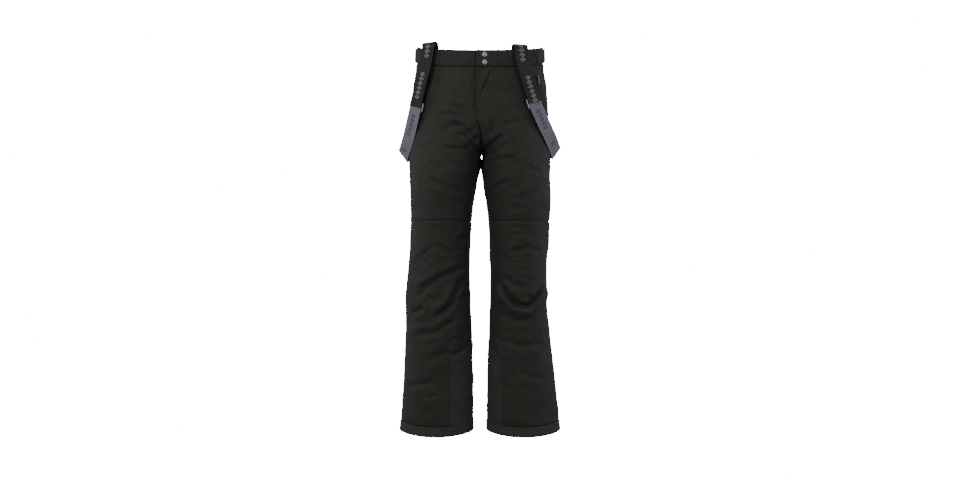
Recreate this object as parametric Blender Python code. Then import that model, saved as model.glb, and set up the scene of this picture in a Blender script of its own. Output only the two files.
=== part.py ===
"""Insulated ski pants with elastic braces, as separate closed bodies.

Metres, +Z up. The origin is the middle of the waist opening, level with the waistband's top edge at the
side seams. The front faces -Y and +X is the wearer's left. Left pieces are worked out first, and right
pieces are their mirror images, apart from the fly and the braces, which hang a little differently.
"""
import math

import bmesh
import bpy
from mathutils import Matrix, Vector

# ---- Driving dimensions -----------------------------------------------------------------------------
SEAM_GAP = 0.0004          # clear space between pieces that meet at a seam
LAYER_GAP = 0.0007         # clear space between layers that lie on each other
WALL = 0.0032              # shell, wadding and lining together

WAISTBAND_HEIGHT = 0.045
BAND_PROUD = 0.0010        # the waistband stands this far outside the panels
FRONT_DROP = 0.24          # the waist slopes down towards the front, rise over run
DROP_FADE = 0.155          # height over which that slope dies out below the waistband

CROTCH = -0.298
FRONT_RISE_CURVE = 0.090   # height of the rounded lower end of the front crotch seam
BACK_RISE_CURVE = 0.115
HIP_BLEND = 0.26           # height over which the thighs merge into the hips at the side
LEG_SQUARENESS = 0.92      # below 1 makes a leg's section a little squarer than an ellipse

KNEE_SEAM = -0.488
KNEE_AXIS = -0.620
KNEE_END = -0.750
HEM_SEAM = -1.043
HEM = -1.070
HEM_DIP = 0.011            # the hem hangs this much lower in front
GUARD_TOP = -0.835
GUARD_THICKNESS = 0.0012
GUARD_REACH = {"left": 0.150, "right": 0.185}    # turns to each side of the inseam

FLY_EDGE = -0.010          # the left side laps over to here
FLY_END = -0.205
FLY_FADE = 0.045

SNAP_X = 0.0127
SNAP_HEIGHTS = {"upper": -0.0377, "lower": -0.0588}
SNAP_RADIUS = 0.0068

WEBBING_WIDTH = 0.040
ELASTIC = 0.0018           # one layer of brace elastic
DOUBLED = 0.0036           # two layers, between the slide and the waistband

# Height, outer x, inner x, depth in front and depth behind of one leg and its half of the hips.
OUTLINE = (
    (0.030, 0.1790, 0.0000, 0.0980, 0.1000),
    (-0.045, 0.1815, 0.0000, 0.1040, 0.1120),
    (-0.120, 0.1870, 0.0000, 0.1120, 0.1350),
    (-0.200, 0.1925, 0.0000, 0.1175, 0.1460),
    (-0.298, 0.1965, 0.0002, 0.1170, 0.1320),
    (-0.380, 0.1965, 0.0080, 0.1110, 0.1140),
    (-0.470, 0.1945, 0.0220, 0.1010, 0.0980),
    (-0.620, 0.1930, 0.0295, 0.0880, 0.0880),
    (-0.790, 0.2015, 0.0250, 0.0800, 0.0860),
    (-0.930, 0.2115, 0.0215, 0.0770, 0.0850),
    (-1.080, 0.2245, 0.0180, 0.0750, 0.0850),
)
OUTER, INNER, FRONT, BACK = 1, 2, 3, 4

COLUMNS = 24               # facets round one whole leg
ROW_STEP = 0.060           # usual height of a facet
RISE_ROWS = 4              # facets along the rounded part of the crotch seam

# Routes of the braces: middle of the webbing, and the direction from there to its outer edge.
BRACE_FRONT = {
    "left": (
        ((0.1130, -0.0895, -0.0300), (0.92, 0.38, 0.05)),
        ((0.1190, -0.0925, -0.0580), (0.90, 0.40, 0.15)),
        ((0.1300, -0.0945, -0.0960), (0.86, 0.45, 0.20)),
        ((0.1420, -0.0925, -0.1350), (0.84, 0.48, 0.22)),
        ((0.1507, -0.0910, -0.1650), (0.83, 0.50, 0.24)),
    ),
    "right": (
        ((-0.1425, -0.0735, -0.0220), (-0.83, 0.55, 0.03)),
        ((-0.1500, -0.0760, -0.0585), (-0.81, 0.57, 0.12)),
        ((-0.1600, -0.0760, -0.0980), (-0.80, 0.58, 0.15)),
        ((-0.1700, -0.0725, -0.1400), (-0.80, 0.58, 0.16)),
        ((-0.1777, -0.0690, -0.1753), (-0.80, 0.58, 0.17)),
    ),
}
BRACE_BACK = {
    "left": (
        ((0.1740, -0.0720, -0.2200), (0.80, 0.48, 0.35)),
        ((0.1950, -0.0530, -0.2600), (0.74, 0.48, 0.46)),
        ((0.2085, -0.0250, -0.2880), (0.64, 0.46, 0.61)),
        ((0.2150, 0.0120, -0.2980), (0.52, 0.40, 0.75)),
        ((0.2100, 0.0520, -0.2900), (0.34, 0.26, 0.90)),
        ((0.1880, 0.0950, -0.2720), (0.20, 0.08, 0.97)),
        ((0.1500, 0.1290, -0.2520), (0.20, -0.04, 0.98)),
        ((0.1020, 0.1500, -0.2330), (0.22, -0.02, 0.97)),
        ((0.0560, 0.1600, -0.2180), (0.26, 0.00, 0.96)),
        ((0.0180, 0.1635, -0.2080), (0.26, 0.00, 0.96)),
    ),
    "right": (
        ((-0.1890, -0.0560, -0.2250), (-0.79, 0.54, 0.28)),
        ((-0.2000, -0.0400, -0.2640), (-0.74, 0.52, 0.42)),
        ((-0.2120, -0.0180, -0.2960), (-0.66, 0.46, 0.59)),
        ((-0.2165, 0.0180, -0.3060), (-0.54, 0.38, 0.75)),
        ((-0.2090, 0.0560, -0.2980), (-0.34, 0.24, 0.91)),
        ((-0.1870, 0.0960, -0.2780), (-0.20, 0.08, 0.97)),
        ((-0.1500, 0.1295, -0.2560), (-0.20, -0.04, 0.98)),
        ((-0.1020, 0.1500, -0.2350), (-0.22, -0.02, 0.97)),
        ((-0.0560, 0.1600, -0.2190), (-0.26, 0.00, 0.96)),
        ((-0.0180, 0.1635, -0.2080), (-0.26, 0.00, 0.96)),
    ),
}
ARCH_RADIUS = 0.0100       # the brace's turn over the top of the waistband
ARCH_LIFT = {"left": 0.0020, "right": 0.0065}
ANCHOR_DEPTH = 0.036       # how far a brace reaches down inside the waistband

# Base colour, roughness and metallic value of each material.
FINISHES = {
    "shell": ((0.024, 0.023, 0.021), 0.80, 0.0),
    "reinforcement": ((0.034, 0.034, 0.031), 0.90, 0.0),
    "lining": ((0.016, 0.016, 0.017), 0.70, 0.0),
    "webbing": ((0.017, 0.017, 0.020), 0.75, 0.0),
    "webbing_reverse": ((0.130, 0.130, 0.160), 0.80, 0.0),
    "metal": ((0.320, 0.320, 0.320), 0.35, 1.0),
    "zip": ((0.012, 0.012, 0.012), 0.45, 0.0),
}


# ---- Small helpers ----------------------------------------------------------------------------------
def make_materials():
    """One Principled material for each finish, by name."""
    made = {}
    for name, (colour, roughness, metallic) in FINISHES.items():
        material = bpy.data.materials.new(name)
        material.use_nodes = True
        shader = material.node_tree.nodes["Principled BSDF"]
        shader.inputs["Base Color"].default_value = (*colour, 1.0)
        shader.inputs["Roughness"].default_value = roughness
        shader.inputs["Metallic"].default_value = metallic
        made[name] = material
    return made


def add_object(name, mesh, finish, pivot=(0.0, 0.0, 0.0)):
    """Turn a bmesh in world coordinates into a named object whose origin is the pivot."""
    bmesh.ops.recalc_face_normals(mesh, faces=mesh.faces)
    bmesh.ops.translate(mesh, verts=mesh.verts, vec=-Vector(pivot))
    data = bpy.data.meshes.new(name)
    mesh.to_mesh(data)
    mesh.free()
    data.shade_smooth()
    data.set_sharp_from_angle(angle=math.radians(35))
    data.materials.append(MATERIALS[finish])
    made = bpy.data.objects.new(name, data)
    made.location = pivot
    bpy.context.scene.collection.objects.link(made)
    return made


def mix(a, b, share):
    return a + (b - a) * share


def ease(value):
    """A smooth step from 0 to 1."""
    value = min(max(value, 0.0), 1.0)
    return value * value * (3.0 - 2.0 * value)


def sides():
    """Both sides of the pants, with the sign of their x."""
    return (("left", 1.0), ("right", -1.0))


def mirrored(points, sign):
    return [[Vector((point.x * sign, point.y, point.z)) for point in row] for row in points]


# ---- The shape of the pants -------------------------------------------------------------------------
def outline(height, column):
    """A smooth curve through one column of the outline, at a height."""
    rows = OUTLINE
    last = len(rows) - 2
    index = next((i for i in range(last) if height >= rows[i + 1][0]), last)
    upper, lower = rows[index], rows[index + 1]
    before = rows[max(index - 1, 0)]
    after = rows[min(index + 2, len(rows) - 1)]
    span = lower[0] - upper[0]
    share = min(max((height - upper[0]) / span, 0.0), 1.0)
    slope_upper = (lower[column] - before[column]) / (lower[0] - before[0]) * span
    slope_lower = (after[column] - upper[column]) / (after[0] - upper[0]) * span
    square, cube = share ** 2, share ** 3
    return (
        (2 * cube - 3 * square + 1) * upper[column]
        + (cube - 2 * square + share) * slope_upper
        + (3 * square - 2 * cube) * lower[column]
        + (cube - square) * slope_lower
    )


def hip_share(height, turn, inset):
    """0 where the leg is a tube of its own, 1 where both legs have merged into the hips.

    Near the centre seam the change follows the rounded crotch seam. Towards the side it is gradual.
    """
    curve = FRONT_RISE_CURVE if turn % 1.0 < 0.5 else BACK_RISE_CURVE
    risen = min(max((height - inset - CROTCH) / curve, 0.0), 1.0)
    sharp = math.sqrt(1.0 - (1.0 - risen) ** 2)
    gradual = ease((height - CROTCH) / HIP_BLEND + 0.5)
    from_side = 2.0 * min(turn % 1.0, -turn % 1.0)
    return mix(gradual, sharp, ease((from_side - 0.4) / 0.6))


def fly_edge(height):
    """x of the front centre seam, which moves over at the fly."""
    return FLY_EDGE * ease((height - FLY_END + FLY_FADE) / FLY_FADE)


def settle(height, y):
    """How far a point lies below its row: the sloping waist and the dipping front hem."""
    forward = min(y, 0.0)
    waist = ease((height + WAISTBAND_HEIGHT + DROP_FADE) / DROP_FADE)
    hem = ease((-0.93 - height) / 0.11)
    return FRONT_DROP * forward * waist + HEM_DIP * hem * forward / outline(height, FRONT)


def wall_point(height, turn, inset=0.0, gap=0.0, centre=0.0):
    """A point of the left half's wall.

    turn is 0 at the side seam, 0.25 in front, 0.5 at the inseam or centre seam and 0.75 behind.
    inset moves the point inwards, gap parts the front from the back, and centre is the x of the
    centre seam above the crotch.
    """
    in_front = turn % 1.0 < 0.5
    outer = outline(height, OUTER) - inset
    inner = outline(height, INNER) + inset if height < CROTCH + max(inset, 0.0) else centre
    depth = outline(height, FRONT if in_front else BACK) - inset
    angle = 2.0 * math.pi * turn
    x = mix(inner, outer, 0.5 + 0.5 * math.cos(angle))
    leg = depth * abs(math.sin(angle)) ** LEG_SQUARENESS
    hips = depth * math.sqrt(max(1.0 - (x / outer) ** 2, 0.0))
    y = mix(leg, hips, hip_share(height, turn, inset)) + gap / 2.0
    if in_front:
        y = -y
    return Vector((x, y, height + settle(height, y)))


def front_y(x, height, inset=0.0):
    """y of the front surface at an x and a height, above the crotch curve."""
    outer = outline(height, OUTER) - inset
    depth = outline(height, FRONT) - inset
    return -depth * math.sqrt(max(1.0 - (x / outer) ** 2, 0.0))


def back_y(x, height, inset=0.0):
    """y of the back surface at an x and a height, above the crotch curve."""
    outer = outline(height, OUTER) - inset
    depth = outline(height, BACK) - inset
    return depth * math.sqrt(max(1.0 - (x / outer) ** 2, 0.0))


def turns(start, end):
    """Turns from start to end, by way of the facet edges that every piece shares."""
    edges = [i / COLUMNS for i in range(-COLUMNS, 2 * COLUMNS)]
    between = [edge for edge in edges if start + 0.002 < edge < end - 0.002]
    return [start, *between, end]


FRONT_HALF = turns(0.0, 0.5 - 1e-9)
BACK_HALF = turns(0.5, 1.0 - 1e-9)


def heights(top, bottom, curve=FRONT_RISE_CURVE):
    """Heights from top to bottom, closer together along the rounded part of the crotch seam."""
    steps = [-ROW_STEP * i for i in range(1, 18)]
    steps = [z for z in steps if not CROTCH - 0.02 < z < CROTCH + curve + 0.02]
    for i in range(RISE_ROWS + 1):
        steps.append(CROTCH + curve * (1.0 - math.cos(math.pi / 2 * i / RISE_ROWS)))
    between = sorted((z for z in steps if bottom + 0.008 < z < top - 0.008), reverse=True)
    return [top, *between, bottom]


# ---- Closed bodies ----------------------------------------------------------------------------------
def sheet_body(outer, inner, closed=False):
    """The body between two grids of points that have the same rows and columns."""
    mesh = bmesh.new()
    grids = [[[mesh.verts.new(point) for point in row] for row in grid] for grid in (outer, inner)]
    rows, columns = len(outer), len(outer[0])
    across = range(columns if closed else columns - 1)

    def face(*corners):
        mesh.faces.new(corners)

    for i in range(rows - 1):
        for j in across:
            k = (j + 1) % columns
            for grid in grids:
                face(grid[i][j], grid[i][k], grid[i + 1][k], grid[i + 1][j])
    out, inn = grids
    for j in across:
        k = (j + 1) % columns
        for i in (0, rows - 1):
            face(out[i][j], out[i][k], inn[i][k], inn[i][j])
    if not closed:
        for i in range(rows - 1):
            for j in (0, columns - 1):
                face(out[i][j], out[i + 1][j], inn[i + 1][j], inn[i][j])
    return mesh


def wall_body(rows, columns, outer_inset, inner_inset, sign=1.0, gap=0.0, centre=None, closed=False):
    """A curved sheet of the pants' wall between two insets."""
    centre = centre or (lambda height: SEAM_GAP / 2)
    grids = []
    for inset in (outer_inset, inner_inset):
        points = [[wall_point(z, turn, inset, gap, centre(z)) for turn in columns] for z in rows]
        grids.append(mirrored(points, sign))
    return sheet_body(grids[0], grids[1], closed)


def box_body(size, bevel=0.0):
    """A box about the origin, with its edges cut back."""
    mesh = bmesh.new()
    bmesh.ops.create_cube(mesh, size=1.0)
    bmesh.ops.scale(mesh, vec=size, verts=mesh.verts)
    if bevel:
        bmesh.ops.bevel(mesh, geom=mesh.edges, offset=bevel, segments=1, affect="EDGES")
    return mesh


def extruded_body(points, thickness):
    """An outline in x and z, given a thickness along y about the origin."""
    mesh = bmesh.new()
    loops = []
    for y in (-thickness / 2, thickness / 2):
        loops.append([mesh.verts.new((x, y, z)) for x, z in points])
    mesh.faces.new(loops[0])
    mesh.faces.new(loops[1])
    count = len(points)
    for i in range(count):
        k = (i + 1) % count
        mesh.faces.new((loops[0][i], loops[0][k], loops[1][k], loops[1][i]))
    return mesh


def framed_body(width, height, bar, thickness, windows):
    """A flat frame in x and z with windows side by side up its height, like a buckle."""
    mesh = box_body((width, thickness, height), 0.0)
    plate = add_object("plate", mesh, "metal")
    step = (height - bar) / windows
    for i in range(windows):
        cut = box_body((width - 2 * bar, thickness * 3, step - bar))
        middle = -height / 2 + bar + step * i + (step - bar) / 2
        bmesh.ops.translate(cut, verts=cut.verts, vec=(0.0, 0.0, middle))
        cutter = add_object("window", cut, "metal")
        modifier = plate.modifiers.new("window", "BOOLEAN")
        modifier.operation = "DIFFERENCE"
        modifier.object = cutter
        with_cut = plate.evaluated_get(bpy.context.evaluated_depsgraph_get())
        data = bpy.data.meshes.new_from_object(with_cut)
        plate.modifiers.clear()
        plate.data = data
        bpy.data.objects.remove(cutter)
    framed = bmesh.new()
    framed.from_mesh(plate.data)
    bpy.data.objects.remove(plate)
    return framed


def place(mesh, origin, outward, up):
    """Put a body made about the origin, facing -Y, where it faces outward and its z runs up."""
    facing = Vector(outward).normalized()
    upright = (Vector(up) - facing * facing.dot(Vector(up))).normalized()
    side = (-facing).cross(upright)
    turn = Matrix((side, -facing, upright)).transposed().to_4x4()
    bmesh.ops.transform(mesh, matrix=Matrix.Translation(origin) @ turn, verts=mesh.verts)
    return mesh


def smooth_route(stations, steps=3):
    """Points and edge directions of a smooth curve through the stations."""
    route = []
    count = len(stations)
    for i in range(count - 1):
        around = [stations[min(max(i + k, 0), count - 1)] for k in (-1, 0, 1, 2)]
        for step in range(steps + (i == count - 2)):
            s = step / steps
            weights = (
                (-s + 2 * s ** 2 - s ** 3) / 2,
                (2 - 5 * s ** 2 + 3 * s ** 3) / 2,
                (s + 4 * s ** 2 - 3 * s ** 3) / 2,
                (s ** 3 - s ** 2) / 2,
            )
            centre = sum((Vector(a[0]) * w for a, w in zip(around, weights)), Vector())
            across = sum((Vector(a[1]) * w for a, w in zip(around, weights)), Vector())
            route.append((centre, across))
    return route


def ribbon_body(route, width, thickness):
    """Flat webbing along a route, with square ends."""
    mesh = bmesh.new()
    sections = []
    for i, (centre, across) in enumerate(route):
        tangent = route[min(i + 1, len(route) - 1)][0] - route[max(i - 1, 0)][0]
        tangent.normalize()
        side = (across - tangent * across.dot(tangent)).normalized() * width / 2
        face = tangent.cross(side).normalized() * thickness / 2
        corners = (centre + side + face, centre - side + face, centre - side - face, centre + side - face)
        sections.append([mesh.verts.new(corner) for corner in corners])
    for low, high in zip(sections, sections[1:]):
        for j in range(4):
            k = (j + 1) % 4
            mesh.faces.new((low[j], low[k], high[k], high[j]))
    mesh.faces.new(sections[0])
    mesh.faces.new(sections[-1])
    return mesh


# ---- Panels of the legs and seat --------------------------------------------------------------------
def make_upper_panels(side, sign):
    """Front and back of the seat and thigh, from the waistband seam to the knee seam."""
    top = -WAISTBAND_HEIGHT - SEAM_GAP
    bottom = KNEE_SEAM + SEAM_GAP / 2

    def front_centre(height):
        return sign * fly_edge(height) + SEAM_GAP / 2

    front = wall_body(heights(top, bottom), FRONT_HALF, 0.0, WALL, sign, SEAM_GAP, front_centre)
    add_object(f"front_panel_{side}", front, "shell")
    back_rows = heights(top, bottom, BACK_RISE_CURVE)
    back = wall_body(back_rows, BACK_HALF, 0.0, WALL, sign, SEAM_GAP)
    add_object(f"back_panel_{side}", back, "shell")


def make_lower_panels(side, sign):
    """Front and back of the knee, which fold, and of the shin, which swings."""
    stretches = {
        "knee": (KNEE_SEAM - SEAM_GAP / 2, KNEE_END + SEAM_GAP / 2),
        "shin": (KNEE_END - SEAM_GAP / 2, HEM_SEAM + SEAM_GAP / 2),
    }
    arcs = {"front": FRONT_HALF, "back": BACK_HALF}
    pivot = (sign * 0.111, 0.0, KNEE_AXIS)
    for stretch, (top, bottom) in stretches.items():
        for face, arc in arcs.items():
            body = wall_body(heights(top, bottom), arc, 0.0, WALL, sign, SEAM_GAP)
            add_object(f"{stretch}_{face}_{side}", body, "shell", pivot)


def make_hem(side, sign):
    """The stiff hem band, the scuff guard on the inner ankle, and the snow gaiter with its elastic."""
    whole = [i / COLUMNS for i in range(COLUMNS)]
    pivot = (sign * 0.111, 0.0, KNEE_AXIS)
    band = wall_body((HEM_SEAM - SEAM_GAP / 2, HEM), whole, 0.0, WALL, sign, closed=True)
    add_object(f"hem_band_{side}", band, "reinforcement", pivot)

    guard_rows = heights(GUARD_TOP, HEM_SEAM + 0.001)
    guard_turns = turns(0.5 - GUARD_REACH[side], 0.5 + GUARD_REACH[side])
    guard_face = -LAYER_GAP - GUARD_THICKNESS
    guard = wall_body(guard_rows, guard_turns, guard_face, -LAYER_GAP, sign)
    add_object(f"scuff_guard_{side}", guard, "reinforcement", pivot)

    tops = (-0.900, -0.925, -1.030)
    insets = (WALL + 0.0010, 0.012, 0.022)
    grids = []
    for layer in (0.0, 0.0015):
        grid = []
        for height, inset in zip(tops, insets):
            grid.append([wall_point(height, turn, inset + layer) for turn in whole])
        grids.append(mirrored(grid, sign))
    add_object(f"gaiter_{side}", sheet_body(grids[0], grids[1], closed=True), "lining", pivot)
    elastic = wall_body((-1.0305, -1.048), whole, 0.0215, 0.0240, sign, closed=True)
    add_object(f"gaiter_elastic_{side}", elastic, "webbing", pivot)


# ---- Waistband --------------------------------------------------------------------------------------
def band_turn(x, height=-0.02):
    """Turn at which the waistband's front reaches an x on the left half."""
    outer = outline(height, OUTER)
    return math.acos(min(2.0 * x / outer - 1.0, 1.0)) / (2.0 * math.pi)


TAB_HINGE_X = 0.046


def make_waistband():
    """Three band pieces and the end of the left one, which opens with the snaps."""
    rows = (0.0, -WAISTBAND_HEIGHT)
    outer, inner = -BAND_PROUD, WALL
    parting = band_turn(TAB_HINGE_X)
    front = wall_body(rows, turns(0.0, parting), outer, inner, 1.0, SEAM_GAP)
    add_object("waistband_front_left", front, "shell")

    grids = []
    for inset in (outer, inner):
        grid = []
        for z in rows:
            start = wall_point(z, parting + 0.0010, inset, SEAM_GAP)
            row = []
            for share in (0.0, 0.25, 0.5, 0.75, 1.0):
                x = mix(start.x, FLY_EDGE + SEAM_GAP / 2, share)
                y = front_y(x, z, inset) - SEAM_GAP / 2
                row.append(Vector((x, y, z + settle(z, y))))
            grid.append(row)
        grids.append(grid)
    hinge = wall_point(-WAISTBAND_HEIGHT, parting, outer) - Vector((0.0, LAYER_GAP, 0.0))
    add_object("waistband_tab", sheet_body(grids[0], grids[1]), "shell", hinge)

    right = wall_body(rows, FRONT_HALF, outer, inner, -1.0, SEAM_GAP, lambda height: SEAM_GAP / 2 - FLY_EDGE)
    add_object("waistband_front_right", right, "shell")

    back_turns = BACK_HALF
    grids = []
    for inset in (outer, inner):
        grid = []
        for z in rows:
            half = [wall_point(z, turn, inset, SEAM_GAP) for turn in reversed(back_turns)]
            other = [Vector((-point.x, point.y, point.z)) for point in reversed(half[:-1])]
            half[-1].x = 0.0
            grid.append(half + other)
        grids.append(grid)
    add_object("waistband_back", sheet_body(grids[0], grids[1]), "shell")


def make_adjuster(side, sign):
    """A hook-and-loop tab at the side of the waistband, and the loop pad it closes on."""
    low, high = -0.042, -0.004
    pad_face = -BAND_PROUD - LAYER_GAP
    pad = wall_body((high - 0.002, low + 0.002), turns(0.035, 0.135), pad_face - 0.0012, pad_face, sign)
    add_object(f"adjuster_pad_{side}", pad, "reinforcement")
    tab_face = pad_face - 0.0012 - LAYER_GAP
    tab = wall_body((high, low), turns(-0.085, 0.125), tab_face - 0.0022, tab_face, sign)
    hinge = wall_point(-0.02, 1.0 - 0.085, tab_face)
    add_object(f"adjuster_tab_{side}", tab, "shell", (hinge.x * sign, hinge.y, -0.02))


def make_hanger_loop():
    """A narrow tape loop inside the back of the waistband."""
    face = back_y(0.0, -0.02, WALL + 0.0005)
    outside = ((-0.026, -0.030), (-0.026, -0.0045), (0.026, -0.0045), (0.026, -0.030))
    inside = ((0.020, -0.030), (0.020, -0.0075), (-0.020, -0.0075), (-0.020, -0.030))
    body = extruded_body(outside + inside, 0.006)
    bmesh.ops.translate(body, verts=body.verts, vec=(0.0, face - 0.0068, 0.0))
    add_object("hanger_loop", body, "webbing")


# ---- Fly --------------------------------------------------------------------------------------------
FLY_TOP_ZIP = -0.078       # world height of the zip's upper end
FLY_LOW_ZIP = -0.205
ZIP_INSET = 0.0085         # the zip's middle plane, behind the panel's face
FLY_PULL_LENGTH = 0.022


def fly_line():
    """Two points on the zip's straight middle line, and the directions out of it and up it."""
    ends = []
    for world, row in ((FLY_TOP_ZIP, FLY_TOP_ZIP + 0.022), (FLY_LOW_ZIP, FLY_LOW_ZIP + 0.006)):
        ends.append(Vector((0.0, front_y(0.0, row, ZIP_INSET), world)))
    up = (ends[0] - ends[1]).normalized()
    outward = Vector((1.0, 0.0, 0.0)).cross(up).normalized()
    if outward.y > 0:
        outward = -outward
    return ends[0], ends[1], outward, up


def make_fly():
    """The shield behind the opening, the zip with its slider and pull, and the snaps."""
    top, low, outward, up = fly_line()
    middle = (top + low) / 2
    length = (top - low).length
    zip_middle_x = 0.004
    for side, sign in sides():
        tape = box_body((0.0120, 0.0010, length))
        place(tape, middle + Vector((zip_middle_x + sign * 0.0069, 0.0, 0.0)), outward, up)
        add_object(f"fly_zip_tape_{side}", tape, "zip")

    post, plate, half_gap, half_width, half_depth = 0.0006, 0.0014, 0.0008, 0.0050, 0.0022
    outline_points = (
        (-half_width, -half_depth), (half_width, -half_depth), (half_width, -half_gap), (post, -half_gap),
        (post, half_gap), (half_width, half_gap), (half_width, half_depth), (-half_width, half_depth),
        (-half_width, half_gap), (-post, half_gap), (-post, -half_gap), (-half_width, -half_gap),
    )
    slider = extruded_body(outline_points, 0.0110)
    bmesh.ops.rotate(slider, matrix=Matrix.Rotation(math.pi / 2, 3, "X"), verts=slider.verts)
    slider_at = top - up * 0.008 + Vector((zip_middle_x, 0.0, 0.0))
    place(slider, slider_at, outward, up)
    add_object("fly_zip_slider", slider, "metal", slider_at)

    pull = box_body((0.0060, 0.0010, FLY_PULL_LENGTH), 0.0003)
    pull_top = slider_at + outward * (half_depth + 0.0003 + 0.0005)
    place(pull, pull_top - up * (FLY_PULL_LENGTH / 2 - 0.002), outward, up)
    add_object("fly_zip_pull", pull, "metal", pull_top)

    shield_grids = []
    for depth in (0.0, 0.0012):
        grid = []
        for share in (0.0, 0.25, 1.0):
            centre = mix(top + up * 0.047, low - up * 0.004, share)
            back = -outward * (0.0040 + depth)
            grid.append([centre + back + Vector((x, 0.004 * (x / 0.03) ** 2, 0.0))
                         for x in (-0.030, -0.016, 0.0, 0.016, 0.032)])
        shield_grids.append(grid)
    add_object("fly_shield", sheet_body(shield_grids[0], shield_grids[1]), "lining")

    for name, height in SNAP_HEIGHTS.items():
        row = height + 0.024
        face = front_y(SNAP_X, row, -BAND_PROUD)
        slope = Vector((SNAP_X / outline(row, OUTER) ** 2, face / outline(row, FRONT) ** 2, 0.0)).normalized()
        cap = bmesh.new()
        bmesh.ops.create_cone(cap, cap_ends=True, segments=20, radius1=SNAP_RADIUS,
                              radius2=SNAP_RADIUS * 0.78, depth=0.0022)
        bmesh.ops.rotate(cap, matrix=Matrix.Rotation(math.pi / 2, 3, "X"), verts=cap.verts)
        place(cap, Vector((SNAP_X, face, height)) + slope * 0.0022, slope, (0, 0, 1))
        add_object(f"snap_cap_{name}", cap, "metal")
        stud = bmesh.new()
        bmesh.ops.create_cone(stud, cap_ends=True, segments=12, radius1=0.0042, radius2=0.0034, depth=0.0026)
        bmesh.ops.rotate(stud, matrix=Matrix.Rotation(math.pi / 2, 3, "X"), verts=stud.verts)
        place(stud, Vector((SNAP_X, front_y(SNAP_X, row, WALL) + 0.0032, height)), slope, (0, 0, 1))
        add_object(f"snap_stud_{name}", stud, "metal")


# ---- Hand pockets -----------------------------------------------------------------------------------
POCKET_TOP = (0.150, -0.072)     # x and row height of the opening's upper end
POCKET_LOW = (0.176, -0.172)
WELT_HALF_WIDTH = 0.0065
POCKET_PULL_LENGTH = 0.020


def pocket_point(share, across, inset):
    """A point on the left front wall beside the pocket's slanted opening."""
    x = mix(POCKET_TOP[0], POCKET_LOW[0], share) + across
    height = mix(POCKET_TOP[1], POCKET_LOW[1], share)
    y = front_y(x, height, inset)
    return Vector((x, y, height + settle(height, y)))


def make_pocket(side, sign):
    """The welt round the zip, its slider and pull, and the pocket bag inside the wall."""
    shares = (0.0, 0.25, 0.5, 0.75, 1.0)
    across = (-WELT_HALF_WIDTH, 0.0, WELT_HALF_WIDTH)
    lift = 0.0020
    grids = []
    for inset in (-lift - 0.0014, -lift):
        grids.append(mirrored([[pocket_point(s, a, inset) for a in across] for s in shares], sign))
    add_object(f"pocket_welt_{side}", sheet_body(grids[0], grids[1]), "reinforcement")

    start, end = pocket_point(0.0, 0.0, 0.0), pocket_point(1.0, 0.0, 0.0)
    up = (start - end).normalized()
    x, y = (start.x + end.x) / 2, (start.y + end.y) / 2
    outward = Vector((x / outline(-0.12, OUTER) ** 2, y / outline(-0.12, FRONT) ** 2, 0.0)).normalized()
    outward = (outward - up * outward.dot(up)).normalized()
    slider_at = start - up * 0.010 + outward * 0.0088
    slider = box_body((0.0080, 0.0032, 0.0100), 0.0005)
    pull = box_body((0.0055, 0.0012, POCKET_PULL_LENGTH), 0.0003)
    pull_at = slider_at + outward * 0.0027
    hang = (Vector((0, 0, -1)) + outward * outward.z).normalized()
    flip = Vector((sign, 1.0, 1.0))
    place(slider, slider_at * flip, outward * flip, up * flip)
    place(pull, (pull_at + hang * (POCKET_PULL_LENGTH / 2 - 0.0006)) * flip, outward * flip, (0, 0, 1))
    add_object(f"pocket_slider_{side}", slider, "metal", slider_at * flip)
    add_object(f"pocket_pull_{side}", pull, "metal", pull_at * flip)

    bag_rows = (-0.070, -0.120, -0.180, -0.225)
    bag = wall_body(bag_rows, turns(2 / 24, 6 / 24), WALL + 0.0010, WALL + 0.0030, sign)
    add_object(f"pocket_bag_{side}", bag, "lining")


# ---- Braces -----------------------------------------------------------------------------------------
def arch_stations(side, sign):
    """The brace's way up the inside of the waistband, over its top edge and down again."""
    (x, y, _), across = BRACE_FRONT[side][0]
    slope = Vector((x / outline(0.0, OUTER) ** 2, y / outline(0.0, FRONT) ** 2, 0.0)).normalized()
    wall = Vector((x, y, 0.0)) - slope * ARCH_RADIUS
    wall.z = FRONT_DROP * wall.y + ARCH_LIFT[side]
    along = (slope.cross(Vector((0, 0, 1))) * -sign).normalized()
    if along.x * sign < 0:
        along = -along
    stations = [(wall - slope * ARCH_RADIUS - Vector((0, 0, ANCHOR_DEPTH + ARCH_LIFT[side])), along)]
    stations.append((wall - slope * ARCH_RADIUS - Vector((0, 0, ANCHOR_DEPTH / 2)), along))
    for step in range(5):
        angle = math.pi * step / 4
        ring = Vector((0, 0, math.sin(angle))) * ARCH_RADIUS - slope * math.cos(angle) * ARCH_RADIUS
        stations.append((wall + ring, along))
    return stations


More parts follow.
